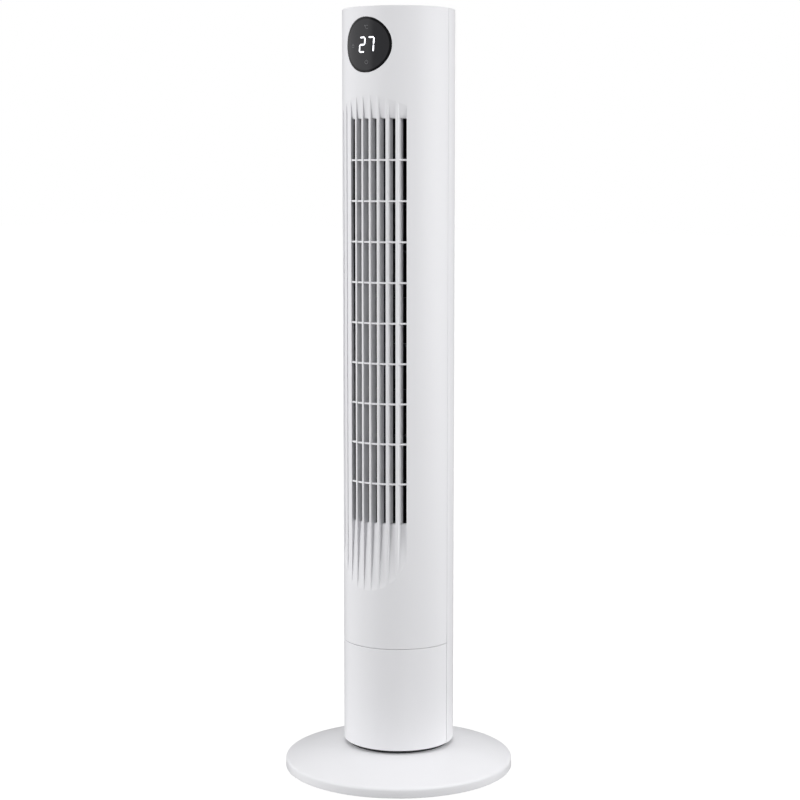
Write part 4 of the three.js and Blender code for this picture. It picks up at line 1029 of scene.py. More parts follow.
@dataclass
class Grille:
    """Sizes that the fluted front, its slats and its ribs share."""

    flute_count: int = 9
    blind_count: int = 2
    blind_depth: float = 1.5 * MM
    slat_thickness: float = 2.9 * MM
    slat_depth: float = 10.5 * MM
    half_width: float = 45.5 * MM
    rib_pitch: float = 47.6 * MM
    rib_height: float = 2.2 * MM
    rib_depth: float = 3.5 * MM
    rib_inset: float = 1.0 * MM
    rib_root: float = 0.6 * MM
    rib_edge: float = EASED_EDGE
    cell_count: int = 10
    edge_radius: float = 0.55 * MM
    floor_radius: float = 0.6 * MM
    sill_radius: float = 1.8 * MM
    upper_rise: float = 28 * MM
    upper_drop: float = 13 * MM
    upper_depth: float = 3 * MM
    scoop_straight: float = 38 * MM
    scoop_arch: float = 44 * MM
    scoop_depth: float = 5 * MM
    lip: float = 0.45 * MM
    outlet_drop: float = 129 * MM
    radius: float = TOWER_RADIUS
    top: float = TOWER_TOP

    @property
    def pitch(self) -> float:
        """Sideways distance from one flute to the next."""
        return (2 * self.half_width + self.slat_thickness) / self.flute_count

    @property
    def flute_half(self) -> float:
        """Half the width of one flute."""
        return (self.pitch - self.slat_thickness) / 2

    @property
    def scroll_edge(self) -> float:
        """Sideways place of the outlet's edge beside the flutes that stay closed."""
        return self.middle(self.blind_count) - self.flute_half

    def middle(self, number: int) -> float:
        """Sideways place of one flute's middle."""
        return (number - (self.flute_count - 1) / 2) * self.pitch

    @property
    def high(self) -> float:
        """Height of the outlet's top."""
        return self.top - self.outlet_drop

    @property
    def low(self) -> float:
        """Height of the outlet's bottom."""
        return self.high - self.cell_count * self.rib_pitch

    def ends(self, across: float) -> tuple[float, float]:
        """Heights at which a flute runs out into the surface, at a sideways place.

        Args:
            across: The sideways place.

        Returns:
            The lower and the upper height.
        """
        share = min(1.0, abs(across) / self.half_width)
        arch = self.scoop_arch * math.sqrt(1 - share * share)
        rise = self.upper_rise - self.upper_drop * share * share
        return self.low - self.scoop_straight - arch, self.high + rise

    def slats(self) -> bpy.types.Object:
        """Make the upright slats, each with a rounded front that follows the tower's surface.

        Returns:
            One object that holds all the slats.
        """
        tree = Pattern(
            "slat_pattern",
            {
                "Count": self.flute_count - self.blind_count - 1,
                "First": self.middle(self.blind_count) + self.pitch / 2,
                "Pitch": self.pitch,
                "Thickness": self.slat_thickness,
                "Depth": self.slat_depth,
                "Edge radius": self.edge_radius,
                "Tower radius": self.radius,
                "Low": self.low,
                "High": self.high,
            },
        )
        section = tree.section("Thickness", "Depth", "Edge radius", 4)
        foot = tree.node("GeometryNodeFillCurve", {"mode": "NGONS"}, {"Curve": section})
        rise = tree.vector(0.0, 0.0, tree.size("High") - tree.size("Low"))
        drawing = {"Mesh": foot, "Offset": rise, "Offset Scale": 1.0, "Individual": False}
        drawn = tree.node("GeometryNodeExtrudeMesh", {"mode": "FACES"}, drawing)
        under = tree.node("GeometryNodeFlipFaces", {}, {"Mesh": foot})
        both = tree.tree.nodes.new("GeometryNodeJoinGeometry")
        for part in (drawn, under):
            tree.tree.links.new(part.socket, both.inputs[0])
        closing = {"Geometry": Wire(tree.tree, both.outputs[0]), "Distance": MERGE_REACH}
        slat = tree.node("GeometryNodeMergeByDistance", {}, closing)
        across = tree.size("First") + tree.index() * tree.size("Pitch")
        spread = tree.row(tree.size("Count"), tree.vector(across, tree.size("Depth") * 0.5, tree.size("Low")))
        copies = tree.node("GeometryNodeInstanceOnPoints", {}, {"Points": spread, "Instance": slat})
        loose = tree.node("GeometryNodeRealizeInstances", {}, {"Geometry": copies})
        x, _, _ = tree.parts(tree.node("GeometryNodeInputPosition"))
        surface = (tree.size("Tower radius") * tree.size("Tower radius") - x * x).root()
        bending = {"Geometry": loose, "Offset": tree.vector(0.0, -surface, 0.0)}
        bent = tree.node("GeometryNodeSetPosition", {}, bending)
        return tree.bake(bent, "outlet_slats", shell_white)

    def ribs(self) -> bpy.types.Object:
        """Make the level ribs that cross the slats just behind their fronts.

        Returns:
            One object that holds all the ribs.
        """
        first = math.asin((self.scroll_edge - self.rib_root) / self.radius)
        last = math.asin((self.half_width + self.rib_root) / self.radius)
        return ring_bars(
            "outlet_ribs",
            shell_white,
            radius=self.radius - self.rib_inset - self.rib_depth / 2,
            width=self.rib_depth,
            height=self.rib_height,
            edge=self.rib_edge,
            middle_angle=(first + last) / 2 - math.pi / 2,
            half_angle=(last - first) / 2,
            first_height=self.low + self.rib_pitch,
            pitch=self.rib_pitch,
            count=self.cell_count - 1,
        )


def ring_bars(
    name: str,
    finish: Finish,
    radius: float,
    width: float,
    height: float,
    edge: float,
    middle_angle: float,
    half_angle: float,
    first_height: float,
    pitch: float,
    count: int,
) -> bpy.types.Object:
    """Stack level bars that follow an arc.

    Args:
        name: The result's name.
        finish: The bars' finish.
        radius: The arc's radius at the bars' middle.
        width: The bars' size across the arc.
        height: Their size along Z.
        edge: The radius of their edges.
        middle_angle: The direction of the arc's middle, anticlockwise from +X.
        half_angle: How far it reaches to either side.
        first_height: Height of the first bar.
        pitch: Height from one bar to the next.
        count: How many bars.

    Returns:
        One object that holds all the bars.
    """
    tree = Pattern(
        name + "_pattern",
        {
            "Radius": float(radius),
            "Width": float(width),
            "Height": float(height),
            "Edge": float(edge),
            "Start": float(middle_angle - half_angle),
            "Sweep": float(2 * half_angle),
            "First height": float(first_height),
            "Pitch": float(pitch),
            "Count": count,
        },
    )
    path = tree.node(
        "GeometryNodeCurveArc",
        {"mode": "RADIUS"},
        {
            "Resolution": 40,
            "Radius": tree.size("Radius"),
            "Start Angle": tree.size("Start"),
            "Sweep Angle": tree.size("Sweep"),
        },
    )
    level = tree.node("GeometryNodeSetCurveNormal", {"mode": "Z_UP"}, {"Curve": path})
    section = tree.section("Width", "Height", "Edge", 3)
    sweep = {"Curve": level, "Profile Curve": section, "Fill Caps": True}
    bar = tree.node("GeometryNodeCurveToMesh", {}, sweep)
    row = tree.node(
        "GeometryNodeMeshLine",
        {"mode": "OFFSET", "count_mode": "TOTAL"},
        {
            "Count": tree.size("Count"),
            "Start Location": tree.vector(0.0, 0.0, tree.size("First height")),
            "Offset": tree.vector(0.0, 0.0, tree.size("Pitch")),
        },
    )
    copies = tree.node("GeometryNodeInstanceOnPoints", {}, {"Points": row, "Instance": bar})
    return tree.bake(copies, name, finish)


@dataclass
class TowerTop:
    """The rounded top edge of the shells and the ledge that holds the cap."""

    radius: float = TOWER_RADIUS
    top: float = TOWER_TOP
    wall: float = 3 * MM
    edge: float = 1 * MM
    lip_width: float = 2 * MM
    lip_edge: float = EASED_EDGE
    ledge_depth: float = 7 * MM
    ledge: float = 3 * MM

    @property
    def inner(self) -> float:
        """The shells' inner radius."""
        return self.radius - self.wall

    @property
    def under(self) -> float:
        """Height of the ledge's underside."""
        return self.top - self.ledge_depth - self.ledge

    def line(self) -> list[Point]:
        """Radius and height from the outer wall over the edge and in to the ledge's underside.

        Returns:
            The points of the line.
        """
        lip = self.inner - self.lip_width
        centre = (self.radius - self.edge, self.top - self.edge)
        inner_edge = (lip + self.lip_edge, self.top - self.lip_edge)
        return [
            *arc(centre, self.edge, 0, math.pi / 2, 8),
            *arc(inner_edge, self.lip_edge, math.pi / 2, math.pi, 4),
            (lip, self.top - self.ledge_depth),
            (lip - self.ledge, self.top - self.ledge_depth),
            (lip - self.ledge, self.under),
            (self.inner, self.under),
        ]


@dataclass(frozen=True)
class Upright:
    """One upright line of points round the front shell."""

    across: float
    angle: float
    most: float = 0.0
    lift: float = 0.0
    inset: float = 0.0
    blind: bool = False


@dataclass(frozen=True)
class Station:
    """One level of the front shell on an upright line: its height, flute depth and draw-in."""

    height: float
    depth: float = 0.0
    ease: float = 0.0
    inset: float = 0.0


@dataclass
class FrontShell:
    """The front housing: a long shell with flutes, an open outlet and a recess for the lens."""

    grille: Grille = field(default_factory=Grille)
    top: TowerTop = field(default_factory=TowerTop)
    foot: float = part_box("front_housing")[0].z
    cut_edge: float = EASED_EDGE
    cheek: float = 2 * MM
    lens_play: float = 0.35 * MM
    recess_reach: float = 4 * MM
    side_steps: int = 26
    plain_levels: int = 12
    scoop_levels: int = 14
    outlet_levels: int = 8
    upper_levels: int = 10
    crown_levels: int = 6
    scoop_crowding: float = 1.3
    lip_run: float = 0.04

    @property
    def end(self) -> float:
        """Angle from the front to the cut edges."""
        return FRONT_HALF - SEAM / self.grille.radius

    def uprights(self) -> list[Upright]:
        """List the upright lines, from the left cut edge round to the right one.

        Returns:
            The lines, in order.
        """
        grille = self.grille
        lines = []
        for number in range(grille.flute_count):
            middle, blind = grille.middle(number), number < grille.blind_count
            for side in (-1, 1):
                wall = middle + side * grille.flute_half
                line = []
                for bend in BENDS:
                    out = grille.edge_radius * (1 - math.sin(bend))
                    sink = grille.edge_radius * (1 - math.cos(bend))
                    line.append(self.upright(wall + side * out, sink, 0.0, blind))
                for bend in BENDS[:-1]:
                    away = grille.floor_radius * (1 - math.cos(bend))
                    lift = grille.floor_radius * (1 - math.sin(bend))
                    line.append(self.upright(wall - side * away, 1.0, lift, blind))
                line.append(self.upright(wall - side * grille.floor_radius, 1.0, 0.0, blind))
                lines += line if side < 0 else [self.upright(middle, 1.0, 0.0, blind), *reversed(line)]
        edge = lines[-1].angle
        end, steps = self.end, self.side_steps
        for side in (-1, 1):
            outer = [edge + (end - edge) * i / steps for i in range(1, steps)]
            line = [Upright(math.inf, side * angle) for angle in outer]
            for bend in BENDS:
                back = self.cut_edge * (1 - math.sin(bend)) / grille.radius
                draw = self.cut_edge * (1 - math.cos(bend))
                line.append(Upright(math.inf, side * (end - back), inset=draw))
            lines = [*reversed(line), *lines] if side < 0 else [*lines, *line]
        return lines

    def upright(self, across: float, most: float, lift: float, blind: bool) -> Upright:
        """An upright line at a sideways place, which sinks at most so far and stays above the floor."""
        return Upright(across, math.asin(across / self.grille.radius), most, lift, 0.0, blind)

    def stations(self, across: float) -> list[Station]:
        """List one upright line's levels, from the foot to the top edge.

        Args:
            across: Its sideways place, or infinity outside the flutes.

        Returns:
            As many levels for every line.
        """
        grille = self.grille
        low, high = grille.ends(across)
        edge, sill = self.cut_edge, grille.sill_radius
        levels = [
            Station(self.foot + edge * (1 - math.cos(bend)), inset=edge * (1 - math.sin(bend)))
            for bend in BENDS
        ]
        start = levels[-1].height
        count = self.plain_levels
        levels += [Station(start + (low - start) * i / count) for i in range(1, count + 1)]
        run = grille.low - low
        for i in range(1, self.scoop_levels + 1):
            height = low + (run - sill) * (i / self.scoop_levels) ** self.scoop_crowding
            levels.append(Station(height, self.scoop(height, low)))
        for bend in BENDS[1:]:
            height = grille.low - sill * (1 - math.sin(bend))
            levels.append(Station(height, self.scoop(height, low), sill * (1 - math.cos(bend))))
        between = grille.high - grille.low
        deep, shallow = grille.scoop_depth, grille.upper_depth
        for i in range(1, self.outlet_levels):
            share = i / self.outlet_levels
            levels.append(Station(grille.low + between * share, deep + (shallow - deep) * share))
        for bend in reversed(BENDS[1:]):
            height = grille.high + sill * (1 - math.sin(bend))
            levels.append(Station(height, self.upper(height, high), sill * (1 - math.cos(bend))))
        rise = high - grille.high
        for i in range(1, self.upper_levels + 1):
            height = grille.high + sill + (rise - sill) * i / self.upper_levels
            levels.append(Station(height, self.upper(height, high)))
        count = self.crown_levels
        levels += [Station(high + (self.top.under - high) * i / count) for i in range(1, count + 1)]
        return levels

    def scoop(self, height: float, low: float) -> float:
        """Depth of the scoop's floor below the surface."""
        share = (height - low) / (self.grille.low - low)
        lip = self.grille.lip * min(1.0, share / self.lip_run)
        return lip + (self.grille.scoop_depth - lip) * share if share > 0 else 0.0

    def upper(self, height: float, high: float) -> float:
        """Depth of the upper flutes' floor below the surface."""
        share = max(0.0, (high - height) / (high - self.grille.high))
        return self.grille.upper_depth * share

    def outer_point(self, line: Upright, level: Station) -> Vector:
        """A point of the outer skin.

        Args:
            line: The upright line it lies on.
            level: Its level on that line.

        Returns:
            The point.
        """
        radius = self.grille.radius - max(line.inset, level.inset)
        point = Vector((radius * math.sin(line.angle), -radius * math.cos(line.angle), level.height))
        if line.most > 0 and level.depth > 0:
            full = level.depth + level.ease
            if line.blind:
                full = min(full, self.grille.blind_depth)
            edge = min(self.grille.edge_radius, full)
            point.y += min(line.most, max(full - line.lift, edge))
        return point

    def crown_point(self, line: Upright, radius: float, height: float) -> Vector:
        """A point of the top edge, drawn in beside the cut edges."""
        reach = radius - (line.inset if radius > self.top.inner else 0.0)
        return Vector((reach * math.sin(line.angle), -reach * math.cos(line.angle), height))

    def inner_point(self, line: Upright, level: Station) -> Vector:
        """A point of the inner skin, which follows the open flutes' floors from cheek to cheek.

        Args:
            line: The upright line it belongs to.
            level: Its level on that line.

        Returns:
            The point.
        """
        grille, radius, end = self.grille, self.top.inner, FRONT_HALF
        left, right = (math.asin(x / grille.radius) for x in (grille.scroll_edge, grille.half_width))
        low, high = grille.scroll_edge - self.cheek, grille.half_width + self.cheek
        inner_left, inner_right = (math.asin(x / radius) for x in (low, high))
        is_open = self.is_open(line)
        if is_open:
            span = math.sin(right) - math.sin(left)
            share = (math.sin(line.angle) - math.sin(left)) / span
            angle = math.asin((low + share * (high - low)) / radius)
        elif line.angle < left:
            angle = inner_left - (left - line.angle) / (left + end) * (inner_left + end)
        else:
            angle = inner_right + (line.angle - right) / (end - right) * (end - inner_right)
        push = level.depth + level.ease if is_open else 0.0
        return Vector((radius * math.sin(angle), push - radius * math.cos(angle), level.height))

    def is_open(self, line: Upright) -> bool:
        """Whether an upright line lies in the outlet, its edges included."""
        tiny = 1e-9
        return self.grille.scroll_edge - tiny <= line.across <= self.grille.half_width + tiny

    def build(self) -> bpy.types.Object:
        """Make the shell as one closed skin, then recess it for the lens.

        Returns:
            The closed shell.
        """
        grille = self.grille
        lines = self.uprights()
        levels = [self.stations(line.across) for line in lines]
        count = len(levels[0])
        outer = [[self.outer_point(l, s[i]) for l, s in zip(lines, levels)] for i in range(count)]
        inner = [[self.inner_point(l, s[i]) for l, s in zip(lines, levels)] for i in range(count)]
        heights = [station.height for station in levels[len(levels) // 2]]
        sill = heights.index(min(heights, key=lambda z: abs(z - grille.low)))
        lintel = heights.index(min(heights, key=lambda z: abs(z - grille.high)))
        zone = [i for i, line in enumerate(lines) if self.is_open(line)]
        left, right = zone[0], zone[-1]
        hole = {(i, j) for i in range(sill, lintel) for j in range(left, right)}
        form = Form()
        form.sheet(outer, skip=hole)
        form.sheet(inner, skip=hole)
        form.sheet([outer[0], inner[0]])
        for level in (sill, lintel):
            form.sheet([outer[level][left : right + 1], inner[level][left : right + 1]])
        for line in (left, right):
            form.sheet([[row[line] for row in skin[sill : lintel + 1]] for skin in (outer, inner)])
        crown = [[self.crown_point(line, *spot) for line in lines] for spot in self.top.line()]
        crown[-1] = inner[-1]
        form.sheet([outer[-1], *crown])
        for line in (0, len(lines) - 1):
            form.sheet([[row[line] for row in outer], [row[line] for row in inner]])
            form.face([outer[-1][line], *[row[line] for row in crown]])
        shell = form.object("front_shell")
        lens = Lens()
        play = self.lens_play
        recess = lens.curved_disc(lens.size + play, self.recess_reach, lens.thickness + play, 0.0)
        carve(shell, recess.object("lens_recess"))
        smooth(shell.data)
        true_round(shell.data, grille.radius)
        return shell

    def install(self) -> None:
        """Build and hand over the shell, the slats and the ribs."""
        install(self.build(), Body.TOWER, shell_white, "front_housing")
        for piece in (self.grille.slats(), self.grille.ribs()):
            smooth(piece.data, 40)
            install(piece, Body.TOWER, shell_white)


@dataclass
class LowerCover:
    """The plain front cover between the base and the front housing."""

    top: TowerTop = field(default_factory=TowerTop)
    low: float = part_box("lower_front_cover")[0].z
    high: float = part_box("lower_front_cover")[1].z
    foot_edge: float = 1.5 * MM
    edge: float = 0.9 * MM

    def install(self) -> None:
        """Sweep the cover's wall round the front."""
        radius, inner = self.top.radius, self.top.inner
        edges = (SMALL_EDGE, self.foot_edge, self.edge, SMALL_EDGE)
        outline = rounded_box((inner, self.low), (radius, self.high), edges)
        end = FRONT_HALF - SEAM / radius
        form = Form()
        form.turn(outline, cut_stops(-end, end, 90, self.edge, radius), (radius + inner) / 2)
        cover = form.object("lower_cover")
        smooth(cover.data)
        true_round(cover.data, radius)
        install(cover, Body.TOWER, shell_white, "lower_front_cover")


def cut_stops(first: float, last: float, steps: int, edge: float, radius: float) -> list[Stop]:
    """Stops for a part of a turn whose cut ends are rounded.

    Args:
        first: The angle of one end.
        last: The angle of the other.
        steps: Steps between them.
        edge: The radius of the rounded cut edge.
        radius: The shell's radius.

    Returns:
        Angles and draw-ins for Form.turn.
    """
    opening = [(first + edge * (1 - math.cos(b)) / radius, edge * (1 - math.sin(b))) for b in BENDS]
    closing = [(first + last - angle, inset) for angle, inset in reversed(opening)]
    start, end = opening[-1][0], closing[0][0]
    middle = [(start + (end - start) * i / steps, 0.0) for i in range(1, steps)]
    return [*opening, *middle, *closing]


@dataclass
class RearShell:
    """The rear housing, with its air intake, carrying recess and screw seats."""

    top: TowerTop = field(default_factory=TowerTop)
    grille: Grille = field(default_factory=Grille)
    low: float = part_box("rear_housing")[0].z
    edge: float = EASED_EDGE
    foot_edge: float = 1.3 * MM
    intake_columns: int = 12
    intake_rows: int = 4
    intake_step: float = math.radians(7.5)
    slot_width: float = 5 * MM
    slot_bar: float = 5 * MM
    guard_pitch: float = 9.5 * MM
    grip_width: float = 84 * MM
    grip_height: float = 30 * MM
    grip_depth: float = 25 * MM
    grip_drop: float = 42 * MM
    grip_wall: float = 2.5 * MM
    grip_corner: float = 9 * MM
    screw_spread: float = 40 * MM
    screw_seat: float = 46 * MM
    seat_radius: float = 4.1 * MM
    seat_wall: float = 1.8 * MM
    seat_floor: float = 3 * MM
    moulding_root: float = 1 * MM
    guard_width: float = 1.4 * MM
    guard_height: float = 1.2 * MM
    guard_edge: float = FINE_EDGE
    guard_inset: float = 0.3 * MM

    def screw_heights(self) -> tuple[float, float]:
        """Heights of the lower and upper pair of screws."""
        boxes = (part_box(name) for name in ("rear_screw_1", "rear_screw_3"))
        return tuple((low.z + high.z) / 2 for low, high in boxes)

    def grip_outline(self, margin: float) -> list[Point]:
        """The carrying recess seen from behind, with a margin all round.

        Args:
            margin: How far the outline is grown.

        Returns:
            The outline of sideways places and heights.
        """
        half = self.grip_width / 2 + margin
        high = self.top.top - self.grip_drop + margin
        low = high - self.grip_height - 2 * margin
        corner = self.grip_corner + margin
        return rounded_box((-half, low), (half, high), [corner] * 4, 8)

    def rods(self, radius: float, near: float, far: float, steps: int = 32) -> Form:
        """Level rods along Y at the four screws.

        Args:
            radius: The rods' radius.
            near: Where they start along Y.
            far: Where they end.
            steps: Sides of each rod.

        Returns:
            The four rods as one form.
        """
        form = Form()
        for x in (-self.screw_spread, self.screw_spread):
            for z in self.screw_heights():
                form.raised(arc((x, z), radius, 0, FULL_TURN, steps)[:-1], near, far, "xzy")
        return form

    def build(self) -> bpy.types.Object:
        """Sweep the wall, add the recess and the bosses, and cut every opening.

        Returns:
            The closed shell.
        """
        radius, inner = self.top.radius, self.top.inner
        edges = (SMALL_EDGE, self.foot_edge, 0.0, 0.0)
        low_line = rounded_box((inner, self.low), (radius, self.top.under), edges)
        outline = [*low_line[:-1], *self.top.line()]
        end = math.pi - FRONT_HALF - SEAM / radius
        form = Form()
        stops = cut_stops(math.pi - end, math.pi + end, 96, self.edge, radius)
        form.turn(outline, stops, (radius + inner) / 2)
        shell = form.object("rear_shell")
        back = radius - self.grip_depth
        pocket = Form()
        pocket.raised(self.grip_outline(self.grip_wall), back - self.grip_wall, radius, "xzy")
        mouldings = pocket.object("mouldings")
        bosses = self.rods(self.seat_radius + self.seat_wall, self.screw_seat - self.seat_floor, radius)
        carve(mouldings, bosses.object("bosses"), "UNION")
        core = Form()
        reach, low, high = inner + self.moulding_root, self.low, self.top.under
        core.turn([(0, low), (reach, low), (reach, high), (0, high)], full_circle(96))
        carve(mouldings, core.object("core"), "INTERSECT")
        carve(shell, mouldings, "UNION")
        hollow = Form()
        hollow.raised(self.grip_outline(0.0), back, radius + CUT_MARGIN, "xzy")
        carve(shell, hollow.object("grip_hollow"))
        carve(shell, self.rods(self.seat_radius, self.screw_seat, radius + CUT_MARGIN).object("seats"))
        carve(shell, self.intake_tool())
        smooth(shell.data)
        true_round(shell.data, radius)
        return shell

    def intake_tool(self) -> bpy.types.Object:
        """The slots that are cut through the wall, in rows across the back.

        Returns:
            One object that holds all the slots.
        """
        span = self.grille.high - self.grille.low
        row = span / self.intake_rows
        slot = Form()
        reach = 2 * self.top.wall
        slot.raised(capsule(self.slot_width, row - self.slot_bar), -reach, reach, "xzy")
        return round_copies(
            "intake_slots",
            slot.object("slot"),
            shell_white,
            columns=self.intake_columns,
            column_step=self.intake_step,
            radius=self.top.radius - self.top.wall / 2,
            first_height=self.grille.low + row / 2,
            first_angle=math.pi - (self.intake_columns - 1) / 2 * self.intake_step,
            rows=self.intake_rows,
            row_step=row,
        )

    def guards(self) -> bpy.types.Object:
        """The fine level bars inside the slots that keep fingers out.

        Returns:
            One object that holds all the bars.
        """
        span = self.grille.high - self.grille.low
        count = int(span / self.guard_pitch) - 1
        return ring_bars(
            "intake_guards",
            shell_white,
            radius=self.top.inner - self.guard_inset,
            width=self.guard_width,
            height=self.guard_height,
            edge=self.guard_edge,
            middle_angle=math.pi / 2,
            half_angle=self.intake_columns / 2 * self.intake_step,
            first_height=self.grille.low + (span - (count - 1) * self.guard_pitch) / 2,
            pitch=self.guard_pitch,
            count=count,
        )

    def install(self) -> None:
        """Build and hand over the shell, its guards and its screws."""
        install(self.build(), Body.TOWER, shell_white, "rear_housing")
        guards = self.guards()
        smooth(guards.data, 40)
        install(guards, Body.TOWER, shell_white)
        screws = Form()
        low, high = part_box("rear_screw_1")
        for x in (-self.screw_spread, self.screw_spread):
            for z in self.screw_heights():
                add_screw(screws, Vector((x, high.y, z)), "y", high.y - low.y)
        piece = screws.object("rear_screws")
        smooth(piece.data)
        install(piece, Body.TOWER, screw_steel, *[f"rear_screw_{i + 1}" for i in range(SCREW_COUNT)])


def add_screw(form: Form, head: Vector, axis: str, length: float, radius: float = 3.8 * MM) -> None:
    """Add a pan-headed screw with a cross in its head.

    Args:
        form: The form it joins.
        head: The middle of the head's outer face.
        axis: The axis the screw lies along, with its head at the positive end, or "-z" for
            a screw whose head faces down.
        length: From the head's face to the tip.
        radius: The head's radius.
    """
    height, shank, steps = 2.4 * MM, 1.6 * MM, 24
    dish, round_off, point, tip = 1.1 * MM, 0.9 * MM, 2.5 * MM, 0.3 * MM
    profile = [
        (0.0, -dish),
        *[(radius * share, -dish * max(0.0, 1 - share * 3)) for share in (0.12, 0.22, 0.33)],
        *arc((radius - round_off, -round_off), round_off, math.pi / 2, 0, 4),
        (radius, -height),
        (shank, -height),
        (shank, -length + point),
        (tip, -length),
        (0.0, -length),
    ]
    rows = []
    for r, level in profile:
        row = []
        in_cross = level < 0 and r < radius * 0.4
        for i in range(steps):
            angle = FULL_TURN * i / steps
            sink = level * (abs(math.cos(2 * angle)) ** 4 if in_cross and level >= -dish else 1.0)
            side, up = r * math.cos(angle), r * math.sin(angle)
            spot = {"y": (side, sink, up), "-z": (side, up, -sink)}[axis]
            row.append(head + Vector(spot))
        rows.append(row)
    form.sheet(rows, wrap=True)


@dataclass
class TopCap:
    """The round cap set down inside the top edge."""

    dish: float = 0.8 * MM
    edge: float = 0.9 * MM
    groove_inset: float = 4 * MM
    groove_half: float = 1.2 * MM
    groove_depth: float = 0.6 * MM
    dish_share: float = 0.6
    dish_round: float = 60 * MM

    def install(self) -> None:
        """Turn the cap with a shallow dish and a finger groove round its rim."""
        low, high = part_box("top_cap")
        radius = high.x
        groove = radius - self.groove_inset
        half, floor, share = self.groove_half, high.z - self.groove_depth, self.dish_share
        outline = rounded(
            [
                (0, low.z, 0),
                (radius, low.z, SMALL_EDGE),
                (radius, high.z, self.edge),
                (groove + half, high.z, SMALL_EDGE),
                (groove + half / 2, floor, FINE_EDGE),
                (groove - half / 2, floor, FINE_EDGE),
                (groove - half, high.z, SMALL_EDGE),
                (groove * share, high.z - self.dish * share, self.dish_round),
                (0, high.z - self.dish, 0),
            ]
        )
        form = Form()
        form.turn(outline, full_circle(128))
        cap = form.object("top_cap_moulding")
        smooth(cap.data)
        install(cap, Body.TOWER, shell_white, "top_cap")


# ---------- Display ----------


